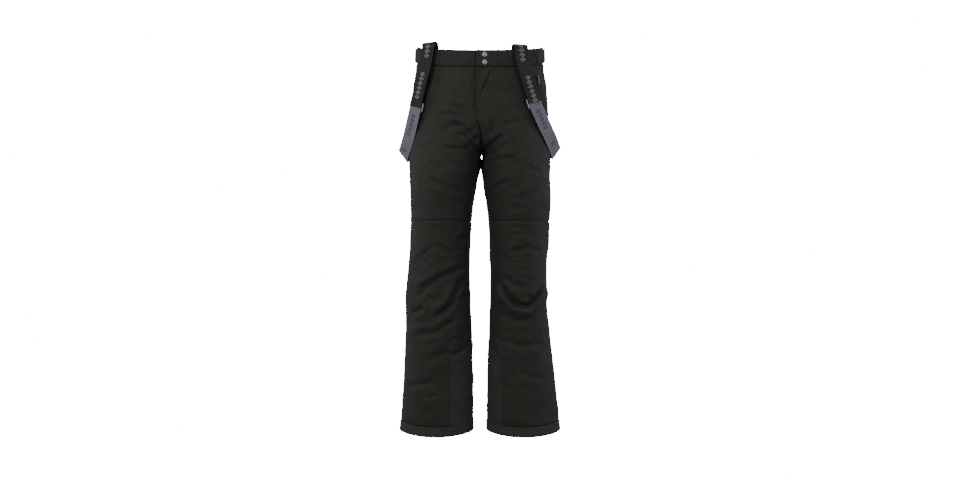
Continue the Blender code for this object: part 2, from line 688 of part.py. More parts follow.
def make_braces():
    """Each brace: doubled front, metal slide, long back length, and its anchor inside the waistband."""
    for side, sign in sides():
        front = arch_stations(side, sign) + [(Vector(c), Vector(a)) for c, a in BRACE_FRONT[side][1:]]
        route = smooth_route(front, 2)
        add_object(f"brace_front_{side}", ribbon_body(route, WEBBING_WIDTH, DOUBLED), "webbing")

        inside, along = front[0]
        outward = along.cross(Vector((0, 0, 1))).normalized()
        outward = outward if outward.y < 0 else -outward
        anchor = box_body((0.044, 0.0030, 0.024), 0.0006)
        place(anchor, inside - outward * 0.0040 + Vector((0, 0, 0.004)), outward, (0, 0, 1))
        add_object(f"brace_anchor_{side}", anchor, "zip")

        end, above = Vector(BRACE_FRONT[side][-1][0]), Vector(BRACE_FRONT[side][-2][0])
        up = (above - end).normalized()
        edge = Vector(BRACE_FRONT[side][-1][1])
        edge = (edge - up * edge.dot(up)).normalized()
        face = edge.cross(up).normalized()
        face = face if face.y < 0 else -face
        behind = DOUBLED / 2 + 0.0006 + 0.0008
        frame = framed_body(0.0500, 0.0260, 0.0035, 0.0016, 2)
        slide_at = end - face * behind - edge * 0.0020
        place(frame, slide_at, face, up)
        add_object(f"brace_slide_{side}", frame, "metal", slide_at)

        start = end - face * (behind + 0.0008 + 0.0006 + ELASTIC / 2)
        lead = [(start + up * step, edge) for step in (0.018, 0.0, -0.016)]
        long_route = lead + [(Vector(c), Vector(a)) for c, a in BRACE_BACK[side]]
        body = ribbon_body(smooth_route(long_route, 2), WEBBING_WIDTH, ELASTIC)
        add_object(f"brace_back_{side}", body, "webbing_reverse")


def make_brace_back():
    """The patch that joins both braces, and the strap from there up to the waistband."""
    centre_y = 0.1665
    patch_points = ((-0.036, -0.030), (0.036, -0.030), (0.036, 0.004), (0.0225, 0.034), (-0.0225, 0.034),
                    (-0.036, 0.004))
    patch = extruded_body(patch_points, 0.0024)
    bmesh.ops.translate(patch, verts=patch.verts, vec=(0.0, centre_y, -0.205))
    add_object("brace_patch", patch, "reinforcement")
    across = Vector((1.0, 0.0, 0.0))
    stations = []
    for height, clear in ((-0.1785, None), (-0.150, 0.0110), (-0.110, 0.0080), (-0.070, 0.0060),
                          (-0.045, 0.0050), (-0.012, 0.0042)):
        y = 0.1635 if clear is None else back_y(0.0, height) + clear
        stations.append((Vector((0.0, y, height)), across))
    add_object("brace_back_strap", ribbon_body(smooth_route(stations, 1), WEBBING_WIDTH, ELASTIC), "webbing")
    above, below = stations[-1][0], stations[-2][0]
    up = (above - below).normalized()
    outward = up.cross(across).normalized()
    outward = outward if outward.y > 0 else -outward
    tab = box_body((0.048, 0.0020, 0.028), 0.0005)
    place(tab, mix(below, above, 0.62) + outward * (ELASTIC / 2 + LAYER_GAP + 0.0010), outward, up)
    add_object("brace_back_tab", tab, "reinforcement")


# ---- Everything -------------------------------------------------------------------------------------
for old in list(bpy.data.objects):
    bpy.data.objects.remove(old)

MATERIALS = make_materials()
for side_name, side_sign in sides():
    make_upper_panels(side_name, side_sign)
    make_lower_panels(side_name, side_sign)
    make_hem(side_name, side_sign)
    make_adjuster(side_name, side_sign)
    make_pocket(side_name, side_sign)
make_waistband()
make_hanger_loop()
make_fly()
make_braces()
make_brace_back()
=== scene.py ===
"""Looks of the ski pants: fabric, webbing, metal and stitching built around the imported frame."""
import math

import bmesh
import bpy
import numpy as np
from mathutils import Matrix, Vector
from mathutils.bvhtree import BVHTree


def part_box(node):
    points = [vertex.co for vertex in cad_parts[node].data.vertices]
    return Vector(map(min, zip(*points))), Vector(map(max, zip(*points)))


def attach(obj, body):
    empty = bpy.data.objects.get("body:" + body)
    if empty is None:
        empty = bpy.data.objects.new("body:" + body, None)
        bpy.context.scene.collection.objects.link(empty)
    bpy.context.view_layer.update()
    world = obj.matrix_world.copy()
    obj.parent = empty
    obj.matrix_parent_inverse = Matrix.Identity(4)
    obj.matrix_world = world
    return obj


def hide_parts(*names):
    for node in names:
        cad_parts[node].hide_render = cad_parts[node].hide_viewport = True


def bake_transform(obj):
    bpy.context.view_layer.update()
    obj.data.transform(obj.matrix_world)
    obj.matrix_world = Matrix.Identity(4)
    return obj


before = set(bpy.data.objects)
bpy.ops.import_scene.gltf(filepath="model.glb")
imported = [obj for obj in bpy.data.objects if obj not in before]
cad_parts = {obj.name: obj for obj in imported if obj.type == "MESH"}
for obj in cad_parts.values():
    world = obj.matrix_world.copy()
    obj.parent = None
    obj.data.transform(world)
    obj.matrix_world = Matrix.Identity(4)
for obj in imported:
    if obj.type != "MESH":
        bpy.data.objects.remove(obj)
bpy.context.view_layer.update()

# ---- Dimensions repeated from the design, in metres -------------------------------------------------
WALL = 0.0032               # shell, wadding and lining together
WAISTBAND_HEIGHT = 0.045
FRONT_DROP = 0.24           # the waist's fall in front, for each metre forward
DROP_FADE = 0.155           # that fall fades out over this height below the waistband
CROTCH = -0.298
FRONT_RISE_CURVE = 0.090    # height in which the crotch opens into the centre seam
BACK_RISE_CURVE = 0.115
HIP_BLEND = 0.26            # height over which a leg's section turns into half the hips'
LEG_SQUARENESS = 0.92       # power of the leg's section; 1 would be a plain ellipse
KNEE_SEAM = -0.488
HEM_SEAM = -1.043
HEM = -1.070
HEM_DIP = 0.011             # the hem's fall in front
FLY_EDGE = -0.010
FLY_END = -0.205
FLY_FADE = 0.045
WEBBING_WIDTH = 0.040
CHAIN_PITCH = 0.0128        # woven diamonds along the braces
CHAIN_HALF_WIDTH = 0.0095
# The left leg's height, outer x, inner x, depth in front and depth behind, turned so that heights rise.
OUTLINE = np.array((
    (0.030, 0.1790, 0.0000, 0.0980, 0.1000),
    (-0.045, 0.1815, 0.0000, 0.1040, 0.1120),
    (-0.120, 0.1870, 0.0000, 0.1120, 0.1350),
    (-0.200, 0.1925, 0.0000, 0.1175, 0.1460),
    (-0.298, 0.1965, 0.0002, 0.1170, 0.1320),
    (-0.380, 0.1965, 0.0080, 0.1110, 0.1140),
    (-0.470, 0.1945, 0.0220, 0.1010, 0.0980),
    (-0.620, 0.1930, 0.0295, 0.0880, 0.0880),
    (-0.790, 0.2015, 0.0250, 0.0800, 0.0860),
    (-0.930, 0.2115, 0.0215, 0.0770, 0.0850),
    (-1.080, 0.2245, 0.0180, 0.0750, 0.0850),
))[::-1]
OUTER, INNER, FRONT, BACK = 1, 2, 3, 4
SIDES = (("left", 1.0), ("right", -1.0))

# ---- Camera, lights and floor -----------------------------------------------------------------------
CAMERA_DISTANCE = 3.2
CAMERA_HEIGHT = -0.5404
VIEW_WIDTH = 2.688         # what the frame's width takes in at the object's middle
SENSOR = 36.0
FLOOR_HEIGHT = -1.42
FLOOR_GLOW = 22.0          # the floor and surround look almost pure white
WORLD_LIGHT = 0.28


def add_object(name, data):
    """A new object in the scene, from its data."""
    made = bpy.data.objects.new(name, data)
    bpy.context.scene.collection.objects.link(made)
    return made


def make_camera():
    """A level camera in front of the pants, at the height of the knees."""
    data = bpy.data.cameras.new("camera")
    data.sensor_width = SENSOR
    data.lens = SENSOR * CAMERA_DISTANCE / VIEW_WIDTH
    camera = add_object("camera", data)
    camera.location = (0.0, -CAMERA_DISTANCE, CAMERA_HEIGHT)
    camera.rotation_euler = (math.pi / 2, 0.0, 0.0)
    bpy.context.scene.camera = camera


LIGHTS = (                 # name, place, size of the soft box, and power
    ("key", (-2.0, -2.5, 1.0), (1.1, 1.6), 50.0),
    ("fill", (1.9, -2.3, 0.1), (1.2, 1.9), 19.0),
    ("side_left", (-2.6, 0.3, 0.1), (1.2, 1.8), 22.0),
    ("side_right", (2.6, 0.3, 0.1), (1.2, 1.8), 22.0),
    ("top", (0.0, -0.4, 2.3), (1.4, 1.4), 20.0),
    ("behind", (0.2, 2.8, 0.4), (1.8, 1.8), 62.0),
)
LIT_POINT = Vector((0.0, 0.0, -0.5))
FLOOR_RADIUS = 4.5         # where the level floor starts to curve up
FLOOR_CURVE = 2.5
SURROUND_TOP = 9.5


def make_lights():
    """Soft boxes in front, at both sides, above and behind, and a dim even surround."""
    for name, place, size, power in LIGHTS:
        data = bpy.data.lights.new(name, "AREA")
        data.shape = "RECTANGLE"
        data.size, data.size_y = size
        data.energy = power
        light = add_object(name, data)
        light.location = place
        light.rotation_euler = (LIT_POINT - Vector(place)).to_track_quat("-Z", "Y").to_euler()
    world = bpy.data.worlds.new("studio")
    world.use_nodes = True
    background = world.node_tree.nodes["Background"]
    background.inputs["Color"].default_value = (1.0, 1.0, 1.0, 1.0)
    background.inputs["Strength"].default_value = WORLD_LIGHT
    bpy.context.scene.world = world


def make_floor():
    """A pale floor that curves up into a white surround, which lights nothing itself."""
    side = FLOOR_RADIUS + FLOOR_CURVE
    profile = [(0.0, 0.0), (FLOOR_RADIUS, 0.0)]
    for step in range(1, 13):
        angle = math.pi / 2 * step / 12
        rise = FLOOR_CURVE * (1.0 - math.cos(angle))
        profile.append((FLOOR_RADIUS + FLOOR_CURVE * math.sin(angle), rise))
    profile += [(side, side), (0.0, SURROUND_TOP)]
    mesh = bmesh.new()
    points = [mesh.verts.new((radius, 0.0, height)) for radius, height in profile]
    edges = [mesh.edges.new(pair) for pair in zip(points, points[1:])]
    bmesh.ops.spin(mesh, geom=points + edges, cent=(0, 0, 0), axis=(0, 0, 1), angle=2 * math.pi, steps=64)
    bmesh.ops.remove_doubles(mesh, verts=mesh.verts, dist=0.0001)
    data = bpy.data.meshes.new("floor")
    mesh.to_mesh(data)
    mesh.free()
    data.shade_smooth()
    floor = add_object("floor", data)
    floor.location = (0.0, 0.0, FLOOR_HEIGHT)
    floor.visible_diffuse = False
    floor.visible_glossy = False
    floor.visible_shadow = False
    pale = bpy.data.materials.new("pale_floor")
    pale.use_nodes = True
    shader = pale.node_tree.nodes["Principled BSDF"]
    shader.inputs["Base Color"].default_value = (0.94, 0.94, 0.94, 1.0)
    shader.inputs["Roughness"].default_value = 0.9
    shader.inputs["Emission Color"].default_value = (1.0, 1.0, 1.0, 1.0)
    shader.inputs["Emission Strength"].default_value = FLOOR_GLOW
    data.materials.append(pale)


# ---- Materials --------------------------------------------------------------------------------------
class Nodes:
    """A short way to write a material's node tree."""

    def __init__(self, name, roughness, metallic=0.0, specular=0.3, sheen=0.0):
        self.material = bpy.data.materials.new(name)
        self.material.use_nodes = True
        self.tree = self.material.node_tree
        self.shader = self.tree.nodes["Principled BSDF"]
        inputs = {"Roughness": roughness, "Metallic": metallic, "Specular IOR Level": specular}
        self.fill(self.shader, {**inputs, "Sheen Weight": sheen, "Sheen Roughness": 0.5})

    def fill(self, node, inputs):
        """Give a node's inputs, by name or place, numbers or other nodes' outputs. None is left alone."""
        for socket, value in inputs.items():
            if isinstance(value, bpy.types.NodeSocket):
                self.tree.links.new(value, node.inputs[socket])
            elif value is not None:
                node.inputs[socket].default_value = value

    def add(self, kind, inputs, **values):
        """A new node with its inputs filled and its own settings given. Returns its first output."""
        node = self.tree.nodes.new(kind)
        for name, value in values.items():
            setattr(node, name, value)
        self.fill(node, inputs)
        return node.outputs[0]

    def math(self, operation, *inputs):
        return self.add("ShaderNodeMath", dict(enumerate(inputs)), operation=operation)

    def uv(self):
        """Across and along the cloth, both in metres."""
        split = self.add("ShaderNodeSeparateXYZ", {0: self.add("ShaderNodeUVMap", {}, uv_map="cloth")}).node
        return split.outputs[0], split.outputs[1]

    def place(self):
        return self.add("ShaderNodeTexCoord", {}).node.outputs["Object"]

    def noise(self, scale, detail=2.0, roughness=0.5, vector=None):
        inputs = {"Scale": scale, "Detail": detail, "Roughness": roughness}
        return self.add("ShaderNodeTexNoise", {**inputs, "Vector": vector or self.place()})

    def threads(self, coordinate, pitch):
        """A smooth wave from 0 to 1, one for each thread."""
        turns = self.math("MULTIPLY", coordinate, 2.0 * math.pi / pitch)
        return self.math("MULTIPLY_ADD", self.math("SINE", turns), 0.5, 0.5)

    def weave(self, pitch):
        """Plain weave: warp and weft threads that pass over each other in turn."""
        u, v = self.uv()
        over = self.math("MULTIPLY", self.threads(u, pitch), self.threads(v, pitch))
        half = pitch / 2.0
        under_u = self.threads(self.math("ADD", u, half), pitch)
        under_v = self.threads(self.math("ADD", v, half), pitch)
        return self.math("MAXIMUM", over, self.math("MULTIPLY", under_u, under_v))

    def bump(self, height, distance, normal=None):
        inputs = {"Height": height, "Distance": distance, "Strength": 1.0, "Normal": normal}
        return self.add("ShaderNodeBump", inputs)

    def blend(self, share, dark, light, how="MIX"):
        """A colour between two, by share. A colour is three numbers or a node's output."""
        colours = [(*colour, 1.0) if isinstance(colour, tuple) else colour for colour in (dark, light)]
        inputs = {"Factor": share, 6: colours[0], 7: colours[1]}
        return self.add("ShaderNodeMix", inputs, data_type="RGBA", blend_type=how).node.outputs[2]

    def finish(self, colour, normal, roughness=None):
        self.fill(self.shader, {"Base Color": colour, "Normal": normal, "Roughness": roughness})
        return self.material


def shade(colour, factor):
    return tuple(channel * factor for channel in colour)


def fabric(name, colour, pitch, depth, crinkle, roughness, sheen=0.0, specular=0.25):
    """Woven cloth: threads, a fine crinkle, and slightly uneven dye."""
    nodes = Nodes(name, roughness, sheen=sheen, specular=specular)
    weave = nodes.weave(pitch)
    uneven = nodes.math("MULTIPLY_ADD", nodes.noise(9.0, 4.0, 0.6), 0.7, 0.15)
    flecks = nodes.noise(900.0, 1.0)
    share = nodes.math("ADD", uneven, nodes.math("MULTIPLY", flecks, 0.25))
    tone = nodes.blend(share, shade(colour, 0.80), shade(colour, 1.25))
    thread = nodes.math("MULTIPLY_ADD", weave, 0.35, 0.72)
    dyed = nodes.blend(1.0, tone, thread, "MULTIPLY")
    rough = nodes.math("MULTIPLY_ADD", nodes.noise(60.0, 3.0), 0.16, roughness - 0.08)
    normal = nodes.bump(nodes.noise(55.0, 5.0, 0.62), crinkle)
    normal = nodes.bump(nodes.noise(260.0, 3.0), crinkle * 0.22, normal=normal)
    normal = nodes.bump(weave, depth, normal=normal)
    return nodes.finish(dyed, normal, rough)


def webbing(name, ground, figure, groups):
    """Ribbed elastic webbing with chains of woven diamonds. groups says from which diamond to which."""
    nodes = Nodes(name, 0.72, specular=0.20, sheen=0.03)
    u, v = nodes.uv()
    ribs = nodes.threads(v, 0.0013)
    cords = nodes.threads(u, 0.0011)
    from_middle = nodes.math("ABSOLUTE", u)
    along = nodes.math("PINGPONG", v, CHAIN_PITCH / 2)
    across = nodes.math("MULTIPLY", from_middle, CHAIN_PITCH / 2 / CHAIN_HALF_WIDTH)
    ring = nodes.math("ADD", along, across)
    outside = nodes.math("GREATER_THAN", ring, CHAIN_PITCH * 0.29)
    inside = nodes.math("LESS_THAN", ring, CHAIN_PITCH * 0.47)
    core = nodes.math("LESS_THAN", ring, CHAIN_PITCH * 0.15)
    shape = nodes.math("MAXIMUM", nodes.math("MULTIPLY", outside, inside), core)
    here = None
    for first, last in groups:
        after = nodes.math("GREATER_THAN", v, (first - 0.5) * CHAIN_PITCH)
        before = nodes.math("LESS_THAN", v, (last + 0.5) * CHAIN_PITCH)
        group = nodes.math("MULTIPLY", after, before)
        here = group if here is None else nodes.math("MAXIMUM", here, group)
    if here is not None:
        shape = nodes.math("MULTIPLY", shape, here)
        shape = nodes.math("MULTIPLY", shape, nodes.math("MULTIPLY_ADD", ribs, 0.35, 0.65))
    selvedge = nodes.math("GREATER_THAN", from_middle, WEBBING_WIDTH / 2 - 0.0022)
    base = nodes.blend(nodes.noise(30.0, 4.0), shade(ground, 0.8), shade(ground, 1.2))
    colour = nodes.blend(nodes.math("MULTIPLY", selvedge, 0.5), base, shade(ground, 1.5))
    normal = nodes.bump(cords, 0.00012)
    normal = nodes.bump(ribs, 0.00030, normal=normal)
    if here is not None:
        colour = nodes.blend(shape, colour, figure)
        normal = nodes.bump(shape, 0.00020, normal=normal)
    return nodes.finish(colour, normal)


def metal(name, colour, roughness):
    """Plated metal, a little scratched and duller in places."""
    nodes = Nodes(name, roughness, metallic=1.0)
    stretched = nodes.add("ShaderNodeMapping", {"Scale": (1.0, 1.0, 14.0), "Vector": nodes.place()})
    scratches = nodes.noise(160.0, 5.0, 0.7, stretched)
    tarnish = nodes.noise(70.0, 3.0)
    colour = nodes.blend(tarnish, shade(colour, 0.7), shade(colour, 1.15))
    rough = nodes.math("MULTIPLY_ADD", scratches, 0.35, roughness - 0.15)
    return nodes.finish(colour, nodes.bump(scratches, 0.00006), rough)


def moulded(name, colour, roughness):
    """Moulded plastic with a fine grain."""
    nodes = Nodes(name, roughness, specular=0.4)
    grain = nodes.noise(1400.0, 2.0)
    tone = nodes.blend(nodes.noise(40.0, 3.0), shade(colour, 0.8), shade(colour, 1.3))
    return nodes.finish(tone, nodes.bump(grain, 0.00005))


def make_materials():
    """Every material by name."""
    black, grey = (0.0190, 0.0190, 0.0215), (0.165, 0.165, 0.205)
    return {
        "shell": fabric("shell", (0.0212, 0.0203, 0.0172), 0.00060, 0.00009, 0.0017, 0.72, 0.03),
        "coarse": fabric("coarse", (0.0400, 0.0390, 0.0345), 0.0021, 0.00045, 0.0005, 0.86, 0.03),
        "guard": fabric("guard", (0.0315, 0.0313, 0.0295), 0.0021, 0.00045, 0.0005, 0.70, 0.03),
        "lining": fabric("lining", (0.0150, 0.0150, 0.0165), 0.00035, 0.00003, 0.0008, 0.52, 0.0, 0.4),
        "thread": fabric("thread", (0.0440, 0.0425, 0.0380), 0.0006, 0.00005, 0.0001, 0.60),
        "tape": fabric("tape", (0.0130, 0.0130, 0.0135), 0.0008, 0.00012, 0.0002, 0.70),
        "brace_black": webbing("brace_black", black, (0.27, 0.27, 0.28), ((4, 8), (12, 17))),
        "brace_grey": webbing("brace_grey", grey, (0.035, 0.035, 0.050), ((3, 7), (11, 11))),
        "elastic": webbing("elastic", black, black, ()),
        "metal": metal("metal", (0.46, 0.46, 0.45), 0.36),
        "dark_metal": metal("dark_metal", (0.055, 0.055, 0.055), 0.40),
        "zip_plastic": moulded("zip_plastic", (0.010, 0.010, 0.010), 0.42),
    }


# ---- The shape of the pants -------------------------------------------------------------------------
def smooth(value):
    """A smooth step from 0 to 1."""
    value = np.clip(value, 0.0, 1.0)
    return value * value * (3.0 - 2.0 * value)


def bump_at(value, centre, reach):
    """1 at the centre, falling smoothly to 0 at the reach."""
    return smooth(1.0 - np.abs(value - centre) / reach)


def outline(height, column):
    """A smooth curve through one column of the outline."""
    z, v = OUTLINE[:, 0], OUTLINE[:, column]
    slopes = np.empty_like(v)
    slopes[1:-1] = (v[2:] - v[:-2]) / (z[2:] - z[:-2])
    slopes[0] = (v[1] - v[0]) / (z[1] - z[0])
    slopes[-1] = (v[-1] - v[-2]) / (z[-1] - z[-2])
    height = np.clip(height, z[0], z[-1])
    i = np.clip(np.searchsorted(z, height, side="right") - 1, 0, len(z) - 2)
    span = z[i + 1] - z[i]
    s = (height - z[i]) / span
    rise = (2 * s ** 3 - 3 * s ** 2 + 1) * v[i] + (3 * s ** 2 - 2 * s ** 3) * v[i + 1]
    bend = (s ** 3 - 2 * s ** 2 + s) * slopes[i] + (s ** 3 - s ** 2) * slopes[i + 1]
    return rise + bend * span


def fly_edge(height):
    return FLY_EDGE * smooth((height - FLY_END + FLY_FADE) / FLY_FADE)


WAIST_TUCK = 0.0042        # the waist is drawn in a little at the sides
CROTCH_SLIT = 0.0020       # half width of the small gap just under the crotch
THIGH_TOUCH = 0.0032       # the thighs rest against each other below that gap
CROTCH_SHIFT = 0.0045      # the crotch hangs a little towards the left leg
SWAY = 0.0090              # the right leg bows out below the knee and the left one in
SWAY_HEIGHT, SWAY_REACH = -0.725, 0.270
DIP_TOP, DIP_FADE = -0.93, 0.11


def waist_fall(height):
    """Share of the waist's fall in front: whole at the waistband's lower edge, none DROP_FADE lower."""
    return smooth((height + WAISTBAND_HEIGHT + DROP_FADE) / DROP_FADE)


def wall_points(height, turn, sign, inset=0.0, centre=0.0):
    """Points of the wall of one leg and its half of the hips, for arrays of heights and turns.

    turn is 0 at the side seam, 0.25 in front, 0.5 at the inseam or centre seam and 0.75 behind.
    """
    height, turn = np.broadcast_arrays(np.asarray(height, float), np.asarray(turn, float))
    in_front = turn % 1.0 < 0.5
    sway = -sign * SWAY * bump_at(height, SWAY_HEIGHT, SWAY_REACH)
    waist_tuck = WAIST_TUCK * smooth((height + 0.130) / 0.070)
    outer = outline(height, OUTER) + sway - waist_tuck - inset
    slit = CROTCH_SLIT * bump_at(height, CROTCH - 0.011, 0.010)
    pressed = THIGH_TOUCH * bump_at(height, CROTCH - 0.030, 0.050)
    inner = np.maximum(outline(height, INNER) - pressed, 0.0) + slit + inset
    inner = np.where(height < CROTCH + max(inset, 0.0), inner, centre)
    inner = inner + sign * CROTCH_SHIFT * bump_at(height, CROTCH, 0.080)
    depth = np.where(in_front, outline(height, FRONT), outline(height, BACK)) - inset
    angle = 2.0 * np.pi * turn
    x = inner + (outer - inner) * (0.5 + 0.5 * np.cos(angle))
    leg = depth * np.abs(np.sin(angle)) ** LEG_SQUARENESS
    hips = depth * np.sqrt(np.clip(1.0 - (x / outer) ** 2, 0.0, 1.0))
    curve = np.where(in_front, FRONT_RISE_CURVE, BACK_RISE_CURVE)
    risen = np.clip((height - inset - CROTCH) / curve, 0.0, 1.0)
    sharp = np.sqrt(1.0 - (1.0 - risen) ** 2)
    gradual = smooth((height - CROTCH) / HIP_BLEND + 0.5)
    from_side = 2.0 * np.minimum(turn % 1.0, -turn % 1.0)
    share = gradual + (sharp - gradual) * smooth((from_side - 0.4) / 0.6)
    y = leg + (hips - leg) * share
    y = np.where(in_front, -y, y)
    forward = np.minimum(y, 0.0)
    hem = smooth((DIP_TOP - height) / DIP_FADE)
    dip = HEM_DIP * hem * (forward / outline(height, FRONT)) ** 2
    return np.stack((x * sign, y, height + FRONT_DROP * forward * waist_fall(height) - dip), axis=-1)


def front_point(x, height, inset=0.0):
    """A point on the front of the hips at an x on either side."""
    outer = outline(height, OUTER) - inset
    depth = outline(height, FRONT) - inset
    y = -depth * np.sqrt(np.clip(1.0 - (x / outer) ** 2, 0.0, 1.0))
    fallen = height + FRONT_DROP * y * waist_fall(height)
    return np.stack(np.broadcast_arrays(x, y, fallen), axis=-1)


def grid_normals(points, outward=1.0):
    """Unit normals of a grid of points, flipped where needed so that they face out."""
    normals = np.cross(np.gradient(points, axis=1), np.gradient(points, axis=0))
    normals /= np.maximum(np.linalg.norm(normals, axis=-1, keepdims=True), 1e-12)
    return normals * outward


def value_noise(points, scale, seed):
    """Smooth noise from -1 to 1 at points, the same on every run."""
    cell = np.asarray(points) * scale + seed * 17.31
    base = np.floor(cell).astype(np.int64)
    share = smooth(cell - base)
    total = np.zeros(cell.shape[:-1])
    for corner in np.ndindex(2, 2, 2):
        at = base + np.array(corner)
        mixed = (at[..., 0] * 73856093) ^ (at[..., 1] * 19349663) ^ (at[..., 2] * 83492791)
        mixed = mixed ^ (seed * 2654435)
        mixed = (mixed * 1103515245 + 12345) & 0x7FFFFFFF
        mixed = (mixed ^ (mixed >> 13)) * 1274126177 & 0x7FFFFFFF
        weight = np.prod(np.where(np.array(corner) == 1, share, 1.0 - share), axis=-1)
        total += weight * (mixed / 0x3FFFFFFF - 1.0)
    return total


# ---- Meshes -----------------------------------------------------------------------------------------
def new_object(name, vertices, faces, uvs=None, materials=(), face_materials=None):
    """A smooth-shaded object from arrays. uvs holds one pair for each vertex, in metres."""
    data = bpy.data.meshes.new(name)
    data.from_pydata([tuple(v) for v in vertices], [], [tuple(f) for f in faces])
    if uvs is not None:
        layer = data.uv_layers.new(name="cloth")
        index = np.empty(len(data.loops), np.int64)
        data.loops.foreach_get("vertex_index", index)
        layer.data.foreach_set("uv", np.asarray(uvs, np.float32)[index].ravel())
    for name_of in materials:
        data.materials.append(MATERIALS[name_of])
    if face_materials is not None:
        data.polygons.foreach_set("material_index", np.asarray(face_materials, np.int32))
    data.validate()
    data.shade_smooth()
    data.set_sharp_from_angle(angle=math.radians(48))
    return add_object(name, data)


def cumulative(points, axis):
    """Distance along a grid's rows or columns from its first line."""
    steps = np.linalg.norm(np.diff(points, axis=axis), axis=-1)
    start = np.zeros_like(np.take(steps, [0], axis=axis))
    return np.concatenate((start, np.cumsum(steps, axis=axis)), axis=axis)


def sample(at, reach, values):
    """Points or directions of a line at distances along it, or at one distance."""
    return np.stack([np.interp(at, reach, values[:, k]) for k in range(3)], axis=-1)


def from_edges(points):
    """Distances over a sheet from its top row, bottom row, first column and last column."""
    across, down = cumulative(points, 1), cumulative(points, 0)
    return down, down[-1:] - down, across, across[:, -1:] - across


def sheet_object(name, points, normals, thickness, material, closed=False, lining=None):
    """A thin closed body: a grid of points outside, and the same grid moved in by the thickness."""
    rows, columns = points.shape[:2]
    inner = points - normals * thickness
    vertices = np.concatenate((points.reshape(-1, 3), inner.reshape(-1, 3)))
    count = rows * columns
    index = np.arange(count).reshape(rows, columns)
    right = np.roll(index, -1, axis=1)
    if not closed:
        index, right = index[:, :-1], right[:, :-1]
    outside = np.stack((index[:-1], right[:-1], right[1:], index[1:]), -1).reshape(-1, 4)
    inside = outside[:, ::-1] + count
    top = np.stack((index[0], index[0] + count, right[0] + count, right[0]), -1)
    bottom = np.stack((index[-1], right[-1], right[-1] + count, index[-1] + count), -1)
    parts = [outside, inside, top, bottom]
    if not closed:
        whole = np.arange(count).reshape(rows, columns)
        for line, flip in ((whole[:, 0], False), (whole[:, -1], True)):
            rim = np.stack((line[:-1], line[1:], line[1:] + count, line[:-1] + count), -1)
            parts.append(rim[:, ::-1] if flip else rim)
    faces = np.concatenate(parts)
    uv = np.stack((cumulative(points, 1), cumulative(points, 0)), -1).reshape(-1, 2)
    kinds = np.zeros(len(faces), np.int32)
    kinds[len(outside):len(outside) + len(inside)] = 1
    used = (material, lining or material)
    made = new_object(name, vertices, faces, np.concatenate((uv, uv)), used, kinds)
    face_out(made)
    return made


def face_out(made):
    """Turn a closed mesh's faces outwards."""
    mesh = bmesh.new()
    mesh.from_mesh(made.data)
    bmesh.ops.recalc_face_normals(mesh, faces=mesh.faces)
    mesh.to_mesh(made.data)
    mesh.free()


def swept_object(name, sections, materials, uvs=None, face_materials=None, closed=False):
    """A body swept through closed sections, with flat ends unless it joins up."""
    sections = np.asarray(sections)
    count, around = sections.shape[:2]
    index = np.arange(count * around).reshape(count, around)
    beside = np.roll(index, -1, axis=1)
    if closed:
        following, beside_next = np.roll(index, -1, axis=0), np.roll(beside, -1, axis=0)
        faces = np.stack((index, beside, beside_next, following), -1).reshape(-1, 4).tolist()
    else:
        faces = np.stack((index[:-1], beside[:-1], beside[1:], index[1:]), -1).reshape(-1, 4).tolist()
        faces += [index[0][::-1].tolist(), index[-1].tolist()]
        if face_materials is not None:
            face_materials = list(face_materials) + [0, 0]
    made = new_object(name, sections.reshape(-1, 3), faces, uvs, materials, face_materials)
    face_out(made)
    return made


def joined(name, parts):
    """Several objects made into one."""
    for other in bpy.context.selected_objects:
        other.select_set(False)
    for part in parts:
        part.select_set(True)
    bpy.context.view_layer.objects.active = parts[0]
    bpy.ops.object.join()
    parts[0].name = name
    parts[0].data.name = name
    return parts[0]


# ---- Stitches ---------------------------------------------------------------------------------------
STITCH_PITCH = 0.0032
STITCH_LENGTH = 0.0024
STITCH_RADIUS = 0.00048


def stitches(name, lines, material="thread"):
    """Rows of short stitches along lines of points, each line with the normals of its surface."""
    vertices, faces = [], []
    ring = [(math.cos(a), math.sin(a)) for a in np.linspace(0, 2 * np.pi, 5, endpoint=False)]
    for points, normals in lines:
        points, normals = np.asarray(points, float), np.asarray(normals, float)
        length = cumulative(points[None], 1)[0]
        for start in np.arange(STITCH_PITCH / 2, length[-1] - STITCH_LENGTH, STITCH_PITCH):
            at = np.array([start, start + STITCH_LENGTH * 0.5, start + STITCH_LENGTH])
            centre, normal = sample(at, length, points), sample(at[1], length, normals)
            along = centre[2] - centre[0]
            side = np.cross(normal, along)
            side /= max(np.linalg.norm(side), 1e-12)
            base = len(vertices)
            for k, (rise, size) in enumerate(((-0.6, 0.45), (0.55, 1.0), (-0.6, 0.45))):
                for c, s in ring:
                    offset = side * c * size + normal * (s * size + rise)
                    vertices.append(centre[k] + offset * STITCH_RADIUS)
            for k in range(2):
                for j in range(5):
                    n = (j + 1) % 5
                    faces.append((base + k * 5 + j, base + k * 5 + n,
                                  base + k * 5 + 5 + n, base + k * 5 + 5 + j))
            faces.append(tuple(base + j for j in reversed(range(5))))
            faces.append(tuple(base + 10 + j for j in range(5)))
    uvs = np.asarray(vertices)[:, :2]
    made = new_object(name, vertices, faces, uvs, (material,))
    face_out(made)
    return made


# ---- Folds and creases ------------------------------------------------------------------------------
POCKET_TOP = (0.150, -0.072)     # x and row height of the pocket opening's upper end
POCKET_LOW = (0.176, -0.172)
